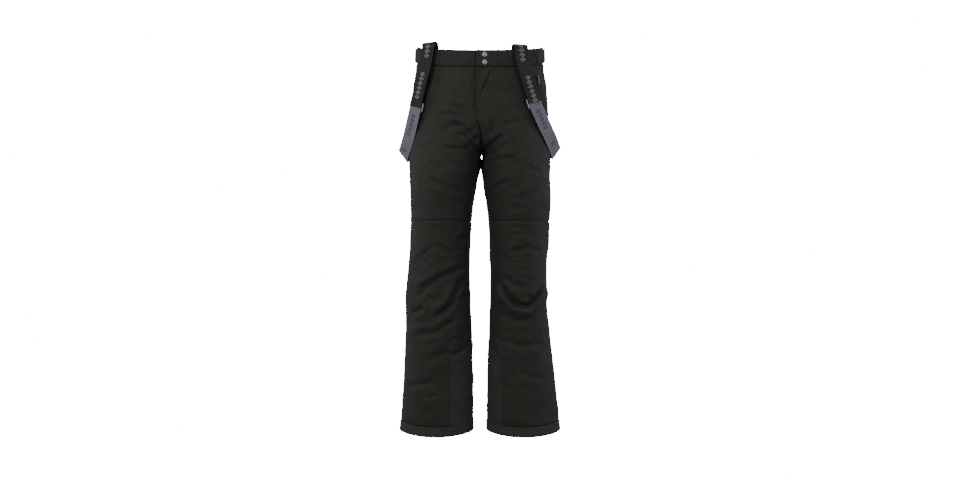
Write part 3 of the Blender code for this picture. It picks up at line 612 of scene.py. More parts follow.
# Creases on the front: points (x, z) along the crease, half width, and depth.
CREASES = {
    "right": (
        (((-0.006, -0.232), (-0.030, -0.250), (-0.062, -0.262)), 0.0060, 0.0015),
        (((-0.005, -0.258), (-0.024, -0.282), (-0.050, -0.300)), 0.0060, 0.0015),
        (((-0.082, -0.222), (-0.048, -0.232), (-0.023, -0.259), (-0.002, -0.276)), 0.0060, 0.0034),
        (((-0.046, -0.252), (-0.031, -0.266), (-0.003, -0.302)), 0.0055, 0.0038),
        (((-0.113, -0.199), (-0.053, -0.202)), 0.0065, 0.0016),
        (((-0.102, -0.291), (-0.028, -0.294)), 0.0060, 0.0018),
        (((-0.090, -0.330), (-0.030, -0.345)), 0.0070, 0.0014),
        (((-0.150, -0.372), (-0.080, -0.402), (-0.040, -0.412)), 0.0080, 0.0016),
        (((-0.127, -0.549), (-0.080, -0.576)), 0.0070, 0.0026),
        (((-0.042, -0.612), (-0.105, -0.640), (-0.176, -0.690)), 0.0080, 0.0034),
        (((-0.047, -0.640), (-0.083, -0.720), (-0.130, -0.758)), 0.0075, 0.0056),
        (((-0.062, -0.752), (-0.120, -0.792), (-0.180, -0.800)), 0.0080, 0.0026),
        (((-0.190, -0.742), (-0.150, -0.726)), 0.0070, 0.0026),
        (((-0.080, -0.842), (-0.150, -0.872)), 0.0090, 0.0018),
        (((-0.120, -0.926), (-0.200, -0.946)), 0.0090, 0.0016),
    ),
    "left": (
        (((0.030, -0.070), (0.028, -0.086), (0.018, -0.112), (0.006, -0.140), (0.001, -0.156)),
         0.0042, 0.0020),
        (((0.030, -0.214), (0.031, -0.256)), 0.0050, 0.0028),
        (((0.068, -0.252), (0.040, -0.274), (0.008, -0.297)), 0.0060, 0.0036),
        (((0.110, -0.214), (0.060, -0.232)), 0.0070, 0.0016),
        (((0.100, -0.318), (0.045, -0.322), (0.014, -0.335)), 0.0070, 0.0022),
        (((0.086, -0.376), (0.040, -0.398), (0.022, -0.420)), 0.0070, 0.0022),
        (((0.160, -0.404), (0.100, -0.430)), 0.0080, 0.0014),
        (((0.146, -0.556), (0.090, -0.572)), 0.0080, 0.0020),
        (((0.056, -0.652), (0.074, -0.690), (0.102, -0.716), (0.128, -0.722), (0.150, -0.702),
          (0.176, -0.664)), 0.0074, 0.0074),
        (((0.070, -0.640), (0.092, -0.664), (0.130, -0.668)), 0.0080, 0.0024),
        (((0.052, -0.742), (0.096, -0.762), (0.150, -0.756)), 0.0085, 0.0024),
        (((0.064, -0.812), (0.120, -0.832), (0.170, -0.822)), 0.0090, 0.0018),
        (((0.112, -0.902), (0.180, -0.926)), 0.0090, 0.0016),
    ),
}
# Creases behind, the same on both sides: points (x, z) of the left leg, half width, and depth.
BACK_CREASES = (
    (((0.010, -0.300), (0.060, -0.330), (0.120, -0.332)), 0.0080, 0.0036),
    (((0.012, -0.268), (0.050, -0.290), (0.096, -0.286)), 0.0080, 0.0024),
    (((0.040, -0.566), (0.100, -0.580), (0.176, -0.572)), 0.0085, 0.0034),
    (((0.048, -0.612), (0.110, -0.622), (0.180, -0.606)), 0.0085, 0.0040),
    (((0.050, -0.660), (0.104, -0.668), (0.170, -0.684)), 0.0085, 0.0032),
    (((0.060, -0.732), (0.120, -0.750)), 0.0090, 0.0020),
    (((0.064, -0.900), (0.150, -0.932)), 0.0090, 0.0022),
    (((0.040, -0.986), (0.110, -1.002), (0.190, -0.990)), 0.0080, 0.0020),
)
CRUMPLES = 34              # small creases scattered over each side of each leg
CREASE_STRENGTH = 1.7


def away_from_line(x, z, line):
    """Signed distance from a line of points, and how far along it the nearest point lies, 0 to 1."""
    best = np.full(x.shape, 1e9)
    signed = np.zeros(x.shape)
    along = np.zeros(x.shape)
    lengths = [math.dist(a, b) for a, b in zip(line, line[1:])]
    passed = 0.0
    for (ax, az), (bx, bz), length in zip(line, line[1:], lengths):
        dx, dz = (bx - ax) / length, (bz - az) / length
        share = np.clip((x - ax) * dx + (z - az) * dz, 0.0, length)
        gap_x, gap_z = x - ax - share * dx, z - az - share * dz
        gap = np.hypot(gap_x, gap_z)
        near = gap < best
        best = np.where(near, gap, best)
        signed = np.where(near, np.copysign(gap, gap_x * dz - gap_z * dx), signed)
        along = np.where(near, (passed + share) / sum(lengths), along)
        passed += length
    return signed, along


def crease_relief(x, z, line, width, depth):
    """Height of the cloth round one crease: a valley between a high lip and a low one."""
    signed, along = away_from_line(x, z, line)
    fade = smooth(np.minimum(along, 1.0 - along) / 0.22 + 0.12)
    valley = -np.exp(-(signed / width) ** 2)
    high = 0.60 * np.exp(-((signed - 2.1 * width) / (1.5 * width)) ** 2)
    low = 0.25 * np.exp(-((signed + 1.9 * width) / (1.2 * width)) ** 2)
    return CREASE_STRENGTH * depth * fade * (valley + high + low)


def crumples(sign, behind):
    """Short creases scattered over the knee and shin, the same on every run."""
    draw = np.random.default_rng(11 + (sign > 0) * 5 + behind * 17)
    found = []
    for _ in range(CRUMPLES):
        z = draw.choice((draw.uniform(-0.86, -0.50), draw.uniform(-1.03, -0.10)))
        x = draw.uniform(0.045, 0.175)
        angle = draw.normal(0.35, 0.45)
        length = draw.uniform(0.020, 0.050)
        dx, dz = math.cos(angle) * length / 2, -math.sin(angle) * length / 2
        line = (((x - dx) * sign, z - dz), ((x + dx) * sign, z + dz))
        found.append((line, draw.uniform(0.0042, 0.0080), draw.uniform(0.0005, 0.0014)))
    return found


def relief(points, sign, side, behind):
    """How far the cloth stands off the smooth wall: soft swells, the main folds and small crumples."""
    seed = (3 if sign > 0 else 7) + 20 * behind
    stretched = points * np.array((1.0, 1.0, 0.6))
    height = 0.0030 * value_noise(stretched, 15.0, seed)
    height += 0.0019 * value_noise(points, 31.0, seed + 1)
    height += 0.0008 * value_noise(points, 74.0, seed + 2)
    x, z = points[..., 0], points[..., 2]
    facing = smooth(points[..., 1] * (1.0 if behind else -1.0) / 0.030)
    if behind:
        creases = [([(a * sign, b) for a, b in line], w, d) for line, w, d in BACK_CREASES]
    else:
        creases = list(CREASES[side])
    for line, width, depth in [*creases, *crumples(sign, behind)]:
        height += facing * crease_relief(x, z, line, width, depth)
    # The welt's ends lie lower than their row heights, as the waist falls in front.
    opening = [(POCKET_TOP[0] * sign, -0.090), (POCKET_LOW[0] * sign, -0.185)]
    from_pocket, _ = away_from_line(x, z, opening)
    return height * (1.0 - facing * 0.9 * smooth(1.8 - np.abs(from_pocket) / 0.016))


def cloth_lift(points, sign, side, behind, edges):
    """How far padded cloth stands off the wall, calmer near the edges where it is sewn down."""
    settled = np.ones(points.shape[:2])
    for distance in edges:
        settled = np.minimum(settled, smooth(distance / SETTLE_REACH))
    return relief(points, sign, side, behind) * (0.25 + 0.75 * settled) + PUFF * settled


# ---- Panels -----------------------------------------------------------------------------------------
PANEL_COLUMNS = 84
PANEL_ROW = 0.0030
FINE_STEPS = np.array((0.0, 0.0008, 0.0018, 0.0032, 0.0050, 0.0075))
SEAM_DEPTH = 0.0022        # how far a seam pulls the cloth in
SEAM_REACH = 0.0028
SETTLE_REACH = 0.022
PUFF = 0.0014              # how far the wadding swells the cloth away from its seams
FLY_LAP = 0.0030           # the left edge of the fly stands forward and the right one lies back
PUCKER = 0.0006
PUCKER_PITCH = 0.0065      # spacing of the small gathers beside a seam


def spaced(start, end, step):
    """Values from start to end about a step apart, closer together at both ends."""
    span = abs(end - start)
    middle = np.linspace(FINE_STEPS[-1], span - FINE_STEPS[-1], max(int(span / step), 2))
    steps = np.concatenate((FINE_STEPS[:-1], middle, span - FINE_STEPS[:-1][::-1]))
    return start + steps * math.copysign(1.0, end - start)


class Grid:
    """A sheet of cloth as rows and columns of points with their normals."""

    def __init__(self, points, normals, heights):
        self.points, self.normals, self.heights = points, normals, heights

    def along_row(self, height, lift=0.0):
        """Points and normals where the cloth is at one of its own heights."""
        order = np.argsort(self.heights)
        known = self.heights[order]
        line = []
        for values in (self.points, self.normals):
            columns = range(values.shape[1])
            line.append(np.stack([sample(height, known, values[order, j]) for j in columns]))
        return line[0] + line[1] * lift, line[1]

    def along_column(self, distance, from_end=False, top=1.0, bottom=-2.0):
        """Points and normals at a distance from the first or last column, between two heights."""
        reach = cumulative(self.points, 1)
        if from_end:
            reach = reach[:, -1:] - reach
        rows = [i for i, h in enumerate(self.heights) if bottom < h < top]
        line = []
        for values in (self.points, self.normals):
            found = []
            for i in rows:
                order = np.argsort(reach[i])
                found.append(sample(distance, reach[i, order], values[i, order]))
            line.append(np.array(found))
        return line


def panel(name, side, sign, top, bottom, first, last, centre=None):
    """One panel of shell, wadding and lining, sewn along all its edges except where the fly opens."""
    heights = spaced(top, bottom, PANEL_ROW)
    turns = np.linspace(first + 1e-9, last - 1e-9, PANEL_COLUMNS)
    fine = FINE_STEPS[1:4] / 0.55
    turns = np.sort(np.concatenate((turns, first + fine, last - fine)))
    middle = 0.0 if centre is None else (sign * centre(heights))[:, None]
    points = wall_points(heights[:, None], turns[None, :], sign, 0.0, middle)
    normals = grid_normals(points, sign)
    distances = from_edges(points)
    lift = cloth_lift(points, sign, side, first >= 0.5, distances)
    for distance in distances[:3]:
        lift = lift - SEAM_DEPTH * np.exp(-(distance / SEAM_REACH) ** 2)
    fly = np.zeros(len(heights)) if centre is None else smooth((heights - FLY_END) / 0.025)
    fly = fly[:, None]
    lift = lift - SEAM_DEPTH * (1.0 - fly) * np.exp(-(distances[3] / SEAM_REACH) ** 2)
    lapping = FLY_LAP if sign > 0 else -FLY_LAP
    lift = lift + lapping * fly * np.exp(-(distances[3] / 0.010) ** 2)
    pucker = np.sin(distances[2] * 2 * math.pi / PUCKER_PITCH + 3 * value_noise(points, 40.0, 5))
    for distance in distances[:2]:
        lift = lift + PUCKER * pucker * np.exp(-((distance - 0.006) / 0.006) ** 2)
    seat = smooth((heights - CROTCH) / 0.012 + 0.5)[:, None]
    beside = smooth(distances[2 if first >= 0.5 else 3] / 0.030)
    normals[..., 0] *= 1.0 - seat * (1.0 - beside)
    outer = points + normals * lift[..., None]
    rounded = grid_normals(outer, sign)
    made = sheet_object(name, outer, normals, WALL, "shell", lining="lining")
    return made, Grid(outer, rounded, heights)


def rides(piece, body, slot, *nodes):
    """A finished piece moves with a body and stands for CAD nodes, which it hides; slot is not used."""
    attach(piece, body)
    if nodes:
        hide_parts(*nodes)
    return piece


def bends_at_knee(piece, side, sign, slot, *nodes):
    """A finished piece has its placement baked into its mesh and stands for CAD nodes, which it hides."""
    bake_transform(piece)
    if nodes:
        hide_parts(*nodes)
    return piece


def make_legs():
    """The panels of both legs and both halves of the seat, by name."""
    grids = {}
    top = -WAISTBAND_HEIGHT
    for side, sign in SIDES:
        front, grids["front_upper", side] = panel(
            f"front_upper_{side}", side, sign, top, KNEE_SEAM, 0.0, 0.5, fly_edge)
        rides(front, "root", "shell", f"front_panel_{side}")
        lower, grids["front_lower", side] = panel(
            f"front_lower_{side}", side, sign, KNEE_SEAM, HEM_SEAM, 0.0, 0.5)
        bends_at_knee(lower, side, sign, "shell", f"knee_front_{side}", f"shin_front_{side}")
        back, grids["back", side] = panel(
            f"back_leg_{side}", side, sign, top, HEM_SEAM, 0.5, 1.0)
        bends_at_knee(back, side, sign, "shell", f"back_panel_{side}", f"knee_back_{side}",
                      f"shin_back_{side}")
    return grids


# ---- Ankles -----------------------------------------------------------------------------------------
GUARD_TOP, GUARD_SHOULDER = -0.820, -0.856
GUARD_PROUD = 0.0014
GUARD_REACH = {"left": 0.151, "right": 0.186}    # turns to each side of the inseam


def make_hem(side, sign):
    """The stiff band round the hem, folded under at its lower edge."""
    turns = np.linspace(0.0, 1.0, 180, endpoint=False)
    heights = spaced(HEM_SEAM + 0.0005, HEM, 0.0024)
    points = wall_points(heights[:, None], turns[None, :], sign, -0.0012)
    normals = grid_normals(points, sign)
    edge = np.minimum(*from_edges(points)[:2])
    lift = 0.0004 + 0.0006 * value_noise(points, 26.0, 41) - 0.0012 * np.exp(-(edge / 0.0016) ** 2)
    outer = points + normals * lift[..., None]
    made = sheet_object(f"hem_band_{side}_cloth", outer, normals, 0.0042, "coarse", closed=True)
    rides(made, f"shin_{side}", "reinforcement", f"hem_band_{side}")
    return Grid(outer, normals, heights)


def make_guard(side, sign):
    """The abrasion patch on the inner ankle, with a slanted shoulder at its top."""
    turns = np.linspace(0.5 - GUARD_REACH[side], 0.5 + GUARD_REACH[side], 84)
    shares = np.concatenate((FINE_STEPS[:4] / 0.2, np.linspace(0.03, 1.0, 74)))
    from_middle = np.abs(turns - 0.5) / GUARD_REACH[side]
    tops = GUARD_TOP + (GUARD_SHOULDER - GUARD_TOP) * np.clip(from_middle / 0.92, 0.0, 1.0)
    heights = tops[None, :] + (HEM_SEAM - 0.001 - tops)[None, :] * shares[:, None]
    points = wall_points(heights, turns[None, :], sign)
    normals = grid_normals(points, sign)
    from_top, from_bottom, from_first, from_last = from_edges(points)
    inseam = np.argmin(np.abs(turns - 0.5))
    sewn = (np.abs(from_first - from_first[:, inseam:inseam + 1]), from_bottom)
    lifts = [cloth_lift(points, sign, side, behind, sewn) for behind in (False, True)]
    lift = np.where(turns[None, :] >= 0.5, lifts[1], lifts[0])
    edge = np.minimum.reduce((from_first, from_last, from_top))
    ripples = 0.0009 * value_noise(points * np.array((1.0, 1.0, 2.6)), 30.0, 91)
    lift = lift + GUARD_PROUD + ripples * smooth(edge / 0.01) - 0.0008 * np.exp(-(edge / 0.0012) ** 2)
    outer = points + normals * lift[..., None]
    made = sheet_object(f"scuff_guard_{side}_cloth", outer, normals, 0.0030, "guard")
    rides(made, f"shin_{side}", "reinforcement", f"scuff_guard_{side}")
    return Grid(outer, normals, heights[:, 0])


GAITER_TOP, GAITER_DROP = -0.900, 0.132
GAITER_IN = 0.0185         # how far its elastic draws it in from the leg
GAITER_ELASTIC = (-1.0300, -1.0485)      # heights of the elastic's edges
GAITER_FOLDS = ((34, 1.0), (55, 0.4))    # folds round the leg, and each set's share of the depth
ELASTIC_FOLDS = 62


def make_gaiter(side, sign):
    """The thin inner cuff, gathered into folds by its elastic."""
    turns = np.linspace(0.0, 1.0, 288, endpoint=False)
    shares = np.linspace(0.0, 1.0, 44)
    waves = sum(np.sin(turns * 2 * math.pi * count) * depth for count, depth in GAITER_FOLDS)
    rows = []
    for share in shares:
        height = GAITER_TOP - GAITER_DROP * share
        inset = WALL + 0.0020 + GAITER_IN * smooth(share * 1.15)
        row = wall_points(height, turns, sign, inset)
        away = row - np.array((sign * 0.115, 0.0, height))
        away /= np.linalg.norm(away, axis=-1, keepdims=True)
        rows.append(row + away * (0.0030 * smooth(share) * waves)[:, None])
    points = np.array(rows)
    normals = grid_normals(points, sign)
    made = sheet_object(f"gaiter_{side}_cloth", points, normals, 0.0006, "lining", closed=True)
    rides(made, f"shin_{side}", "lining", f"gaiter_{side}")


def make_gaiter_elastic(side, sign):
    """The gathered elastic in the cuff's lower edge."""
    turns = np.linspace(0.0, 1.0, 288, endpoint=False)
    heights = np.linspace(*GAITER_ELASTIC, 14)
    points = wall_points(heights[:, None], turns[None, :], sign, 0.0212)
    normals = grid_normals(points, sign)
    crown = np.sin(np.linspace(0, math.pi, 14))[:, None]
    gathers = 0.0007 * np.sin(turns * 2 * math.pi * ELASTIC_FOLDS)[None, :]
    points = points + normals * ((gathers + 0.0008) * crown)[..., None]
    made = sheet_object(f"gaiter_elastic_{side}_cloth", points, normals, 0.0026, "elastic", closed=True)
    rides(made, f"shin_{side}", "webbing", f"gaiter_elastic_{side}")


# ---- Waistband --------------------------------------------------------------------------------------
BAND_PROUD = 0.0010
TAB_HINGE_X = 0.046


def turn_at(x, height=-0.02):
    """Turn at which the front of the left half reaches an x."""
    return math.acos(min(2.0 * x / float(outline(height, OUTER)) - 1.0, 1.0)) / (2.0 * math.pi)


def band(name, points, sign, ends):
    """One length of padded waistband with rolled edges. ends says how far each end stands forward."""
    normals = grid_normals(points, sign)
    from_top, from_bottom, *from_ends = from_edges(points)
    edge = np.minimum(from_top, from_bottom)
    lift = 0.0011 * smooth(edge / 0.012) - 0.0014 * np.exp(-(edge / 0.0016) ** 2)
    lift = lift + 0.0007 * value_noise(points, 30.0, 61) * smooth(edge / 0.01)
    for distance, stand in zip(from_ends, ends):
        lift = lift + stand * np.exp(-(distance / 0.014) ** 2)
        if stand:
            lift = lift - 0.0012 * np.exp(-(distance / 0.0014) ** 2)
    outer = points + normals * lift[..., None]
    made = sheet_object(name, outer, normals, WALL + BAND_PROUD, "shell", lining="lining")
    return made, outer, normals


def make_waistband():
    """Three fixed lengths of band, and the end of the left one, which opens with the snaps."""
    heights = spaced(0.0, -WAISTBAND_HEIGHT, 0.0030)
    heights[0], heights[-1] = 0.0, -WAISTBAND_HEIGHT
    rows = heights[:, None]
    parting = turn_at(TAB_HINGE_X)
    tab_start = float(wall_points(-0.02, parting, 1.0, -BAND_PROUD)[0])
    to_parting = np.linspace(1e-9, parting, 70)[None, :]
    to_fly = np.linspace(1e-9, 0.5 - 1e-9, 96)[None, :]
    behind = np.linspace(0.5 + 1e-9, 1.0 - 1e-9, 90)[None, :]
    tab_xs = np.linspace(tab_start, FLY_EDGE, 34)[None, :]
    back_halves = (wall_points(rows, behind[:, ::-1], -1.0, -BAND_PROUD),
                   wall_points(rows, behind, 1.0, -BAND_PROUD)[:, 1:])
    lengths = (
        ("left", "waistband_left", wall_points(rows, to_parting, 1.0, -BAND_PROUD), 1.0,
         (-0.0003, 0.0), "root", "waistband_front_left"),
        ("tab", "waistband_tab_cloth", front_point(tab_xs, rows, -BAND_PROUD), 1.0,
         (0.0, FLY_LAP), "waist_flap", "waistband_tab"),
        ("right", "waistband_right", wall_points(rows, to_fly, -1.0, -BAND_PROUD, -FLY_EDGE), -1.0,
         (-0.0003, -FLY_LAP), "root", "waistband_front_right"),
        ("back", "waistband_behind", np.concatenate(back_halves, axis=1), 1.0,
         (-0.0003, -0.0003), "root", "waistband_back"),
    )
    grids = {}
    for part, name, points, sign, ends, body, node in lengths:
        made, outer, normals = band(name, points, sign, ends)
        rides(made, body, "shell", node)
        grids[part] = Grid(outer, normals, heights)
    return grids


ADJUSTER_LOW, ADJUSTER_HIGH = -0.042, -0.004
ADJUSTER_FACE = -BAND_PROUD - 0.0007     # inset of the pad's inner face
ADJUSTER_TURNS = (-0.085, 0.125)         # from the hinge end to the rounded free end
ADJUSTER_END = 0.022                     # turns over which the free end is rounded


def make_adjuster_pad(side, sign):
    """The loop pad at the side of the waistband."""
    rows = np.linspace(ADJUSTER_HIGH - 0.002, ADJUSTER_LOW + 0.002, 22)[:, None]
    columns = np.linspace(0.035, 0.135, 48)[None, :]
    points = wall_points(rows, columns, sign, ADJUSTER_FACE - 0.0013)
    normals = grid_normals(points, sign)
    pad = sheet_object(f"adjuster_pad_{side}_cloth", points, normals, 0.0014, "coarse")
    rides(pad, "root", "reinforcement", f"adjuster_pad_{side}")


def make_adjuster(side, sign):
    """The tab that closes on the pad, with a rounded free end and a sewn edge."""
    first, last = ADJUSTER_TURNS
    straight = np.linspace(first, last - ADJUSTER_END, 60)
    columns = np.concatenate((straight, last - ADJUSTER_END * np.linspace(0.96, 0.0, 16)))
    rounding = np.clip((columns - (last - 0.020)) / 0.020, 0.0, 1.0)
    reach = 1.0 - 0.62 * (1.0 - np.sqrt(1.0 - rounding ** 2))
    shares = np.linspace(1.0, -1.0, 24)[:, None]
    rows = (ADJUSTER_LOW + ADJUSTER_HIGH) / 2 + shares * reach[None, :] * (ADJUSTER_HIGH - ADJUSTER_LOW) / 2
    points = wall_points(rows, columns[None, :], sign, ADJUSTER_FACE - 0.0039)
    normals = grid_normals(points, sign)
    lift = 0.0010 * smooth(np.minimum.reduce(from_edges(points)) / 0.006) - 0.0005
    outer = points + normals * lift[..., None]
    tab = sheet_object(f"adjuster_tab_{side}_cloth", outer, normals, 0.0024, "shell")
    rides(tab, f"adjuster_{side}", "shell", f"adjuster_tab_{side}")
    lines = [(outer[row, 2:-3], normals[row, 2:-3]) for row in (2, -3)]
    lines.append((outer[2:-2, -3], normals[2:-2, -3]))
    rides(stitches(f"adjuster_stitch_{side}", lines), f"adjuster_{side}", "shell")


# ---- Braces -----------------------------------------------------------------------------------------
ELASTIC = 0.0018
ARCH_RADIUS = 0.0100
ARCH_LIFT = {"left": 0.0020, "right": 0.0065}
ANCHOR_DEPTH = 0.036
# The braces' ways, from the waistband to the slide and from the slide to the patch behind: points, and
# the direction across the webbing at each.
BRACE_FRONT = {
    "left": (
        ((0.1130, -0.0895, -0.0300), (0.92, 0.38, 0.05)),
        ((0.1190, -0.0925, -0.0580), (0.90, 0.40, 0.15)),
        ((0.1300, -0.0945, -0.0960), (0.86, 0.45, 0.20)),
        ((0.1420, -0.0925, -0.1350), (0.84, 0.48, 0.22)),
        ((0.1507, -0.0910, -0.1650), (0.83, 0.50, 0.24)),
    ),
    "right": (
        ((-0.1425, -0.0735, -0.0220), (-0.83, 0.55, 0.03)),
        ((-0.1500, -0.0760, -0.0585), (-0.81, 0.57, 0.12)),
        ((-0.1600, -0.0760, -0.0980), (-0.80, 0.58, 0.15)),
        ((-0.1700, -0.0725, -0.1400), (-0.80, 0.58, 0.16)),
        ((-0.1777, -0.0690, -0.1753), (-0.80, 0.58, 0.17)),
    ),
}
BRACE_BACK = {
    "left": (
        ((0.1740, -0.0720, -0.2200), (0.80, 0.48, 0.35)),
        ((0.1950, -0.0530, -0.2600), (0.74, 0.48, 0.46)),
        ((0.2085, -0.0250, -0.2880), (0.64, 0.46, 0.61)),
        ((0.2150, 0.0120, -0.2980), (0.52, 0.40, 0.75)),
        ((0.2100, 0.0520, -0.2900), (0.34, 0.26, 0.90)),
        ((0.1880, 0.0950, -0.2720), (0.20, 0.08, 0.97)),
        ((0.1500, 0.1290, -0.2520), (0.20, -0.04, 0.98)),
        ((0.1020, 0.1500, -0.2330), (0.22, -0.02, 0.97)),
        ((0.0560, 0.1600, -0.2180), (0.26, 0.00, 0.96)),
        ((0.0180, 0.1635, -0.2080), (0.26, 0.00, 0.96)),
    ),
    "right": (
        ((-0.1890, -0.0560, -0.2250), (-0.79, 0.54, 0.28)),
        ((-0.2000, -0.0400, -0.2640), (-0.74, 0.52, 0.42)),
        ((-0.2120, -0.0180, -0.2960), (-0.66, 0.46, 0.59)),
        ((-0.2165, 0.0180, -0.3060), (-0.54, 0.38, 0.75)),
        ((-0.2090, 0.0560, -0.2980), (-0.34, 0.24, 0.91)),
        ((-0.1870, 0.0960, -0.2780), (-0.20, 0.08, 0.97)),
        ((-0.1500, 0.1295, -0.2560), (-0.20, -0.04, 0.98)),
        ((-0.1020, 0.1500, -0.2350), (-0.22, -0.02, 0.97)),
        ((-0.0560, 0.1600, -0.2190), (-0.26, 0.00, 0.96)),
        ((-0.0180, 0.1635, -0.2080), (-0.26, 0.00, 0.96)),
    ),
}


def smooth_route(stations, steps=8):
    """Points and edge directions of a smooth curve through the stations."""
    route = []
    count = len(stations)
    for i in range(count - 1):
        around = [stations[min(max(i + k, 0), count - 1)] for k in (-1, 0, 1, 2)]
        for step in range(steps + (i == count - 2)):
            s = step / steps
            weights = (
                (-s + 2 * s ** 2 - s ** 3) / 2,
                (2 - 5 * s ** 2 + 3 * s ** 3) / 2,
                (s + 4 * s ** 2 - 3 * s ** 3) / 2,
                (s ** 3 - s ** 2) / 2,
            )
            centre = sum((Vector(a[0]) * w for a, w in zip(around, weights)), Vector())
            across = sum((Vector(a[1]) * w for a, w in zip(around, weights)), Vector())
            route.append((centre, across))
    return route


def arch_stations(side, sign):
    """The brace's way up the inside of the waistband, over its top edge and down again."""
    x, y, _ = BRACE_FRONT[side][0][0]
    half, deep = float(outline(0.0, OUTER)), float(outline(0.0, FRONT))
    slope = Vector((x / half ** 2, y / deep ** 2, 0.0)).normalized()
    wall = Vector((x, y, 0.0)) - slope * ARCH_RADIUS
    wall.z = FRONT_DROP * wall.y + ARCH_LIFT[side]
    along = (slope.cross(Vector((0, 0, 1))) * -sign).normalized()
    if along.x * sign < 0:
        along = -along
    low = ANCHOR_DEPTH + ARCH_LIFT[side]
    stations = [(wall - slope * ARCH_RADIUS - Vector((0, 0, low)), along)]
    stations.append((wall - slope * ARCH_RADIUS - Vector((0, 0, ANCHOR_DEPTH / 2)), along))
    for step in range(5):
        angle = math.pi * step / 4
        ring = Vector((0, 0, math.sin(angle))) * ARCH_RADIUS - slope * math.cos(angle) * ARCH_RADIUS
        stations.append((wall + ring, along))
    return stations


def ribbon(name, route, width, thickness, materials, shift=(0.0, 0.0)):
    """Webbing with rounded edges along a route. shift moves it sideways and towards its face."""
    lanes = 9
    half, thin = width / 2, thickness / 2
    profile, coordinates, kinds = [], [], []
    for face, flip in ((0, 1.0), (1, -1.0)):
        for lane in range(lanes):
            s = -1.0 + 2.0 * lane / (lanes - 1)
            rounded = thin * (1.0 - 0.55 * abs(s) ** 14)
            profile.append((s * half * flip, rounded * flip))
            coordinates.append(s * half)
            kinds.append(face)
    sections, uvs = [], []
    travelled = 0.0
    for i, (centre, across) in enumerate(route):
        tangent = route[min(i + 1, len(route) - 1)][0] - route[max(i - 1, 0)][0]
        tangent.normalize()
        side = (across - tangent * across.dot(tangent)).normalized()
        face = tangent.cross(side).normalized()
        if i:
            travelled += (centre - route[i - 1][0]).length
        middle = centre + side * shift[0] + face * shift[1]
        for (u, t), coordinate in zip(profile, coordinates):
            uvs.append((coordinate, travelled))
        sections.append([middle + side * u + face * t for u, t in profile])
    around = len(profile)
    kinds_of_faces = [kinds[j] for _ in range(len(route) - 1) for j in range(around)]
    return swept_object(name, sections, materials, uvs, kinds_of_faces)


def slide_ring(name, centre, across, up, face):
    """A flat wire slide: a rounded frame with a bar across its middle."""
    half_width, half_height, wire, flat = 0.0225, 0.0130, 0.0017, 0.0008
    corner_in, corner_bend = 0.0040, 0.0024
    loop = []
    for corner_x, corner_z, start in ((1, 1, 0.0), (-1, 1, 0.5), (-1, -1, 1.0), (1, -1, 1.5)):
        for step in range(5):
            angle = math.pi * (start + step / 8)
            x = corner_x * (half_width - corner_in) + math.cos(angle) * corner_bend
            z = corner_z * (half_height - corner_in) + math.sin(angle) * corner_bend
            loop.append(centre + across * x + up * z)
    bar = [centre + across * x for x in np.linspace(-half_width + 0.003, half_width - 0.003, 9)]
    parts = []
    for path, closed in ((loop, True), (bar, False)):
        sections = []
        for i, point in enumerate(path):
            if closed:
                tangent = path[(i + 1) % len(path)] - path[i - 1]
            else:
                tangent = across
            outward = tangent.cross(face).normalized()
            ring = [math.pi * k / 5 for k in range(10)]
            sections.append([point + outward * math.cos(a) * wire + face * math.sin(a) * flat
                             for a in ring])
        parts.append(swept_object("wire", sections, ("metal",), closed=closed))
    return joined(name, parts)


SLIDE_GAP = 0.0006
BRACE_LIFT = 0.0022        # the doubled end stands forward where the long strap tucks in behind it


def make_brace(side, sign):
    """Two layers from the waistband to the slide, and the long single layer from there to the back."""
    end, above = Vector(BRACE_FRONT[side][-1][0]), Vector(BRACE_FRONT[side][-2][0])
    up = (above - end).normalized()
    edge = Vector(BRACE_FRONT[side][-1][1])
    edge = (edge - up * edge.dot(up)).normalized()
    face = edge.cross(up).normalized()
    face = face if face.y < 0 else -face

    stations = arch_stations(side, sign) + list(BRACE_FRONT[side][1:])
    stations[-1] = (end + face * BRACE_LIFT, stations[-1][1])
    route = smooth_route(stations)
    layers = []
    for number, (sideways, lift) in enumerate(((0.0, 0.5), (-0.0014, -0.5))):
        shift = (sideways, lift * (ELASTIC + 0.0001) * -sign)
        layers.append(ribbon(f"layer_{number}", route, WEBBING_WIDTH, ELASTIC,
                             ("brace_black", "brace_black"), shift))
    front = joined(f"brace_front_{side}_cloth", layers)
    rides(front, "root", "webbing", f"brace_front_{side}")

    slide_at = end - face * (ELASTIC + SLIDE_GAP + 0.0008) - edge * 0.0020
    slide = slide_ring(f"brace_slide_{side}_ring", slide_at, edge, up, face)
    rides(slide, f"brace_slide_{side}", "metal", f"brace_slide_{side}")

    tucked = end - face * 0.0010
    lead = [(tucked + up * step, edge) for step in (0.012, 0.0, -0.014)]
    faces = ("brace_black", "brace_grey") if sign < 0 else ("brace_grey", "brace_black")
    long_route = smooth_route(lead + list(BRACE_BACK[side]))
    back = ribbon(f"brace_back_{side}_cloth", long_route, WEBBING_WIDTH, ELASTIC, faces)
    rides(back, "root", "webbing_reverse", f"brace_back_{side}")


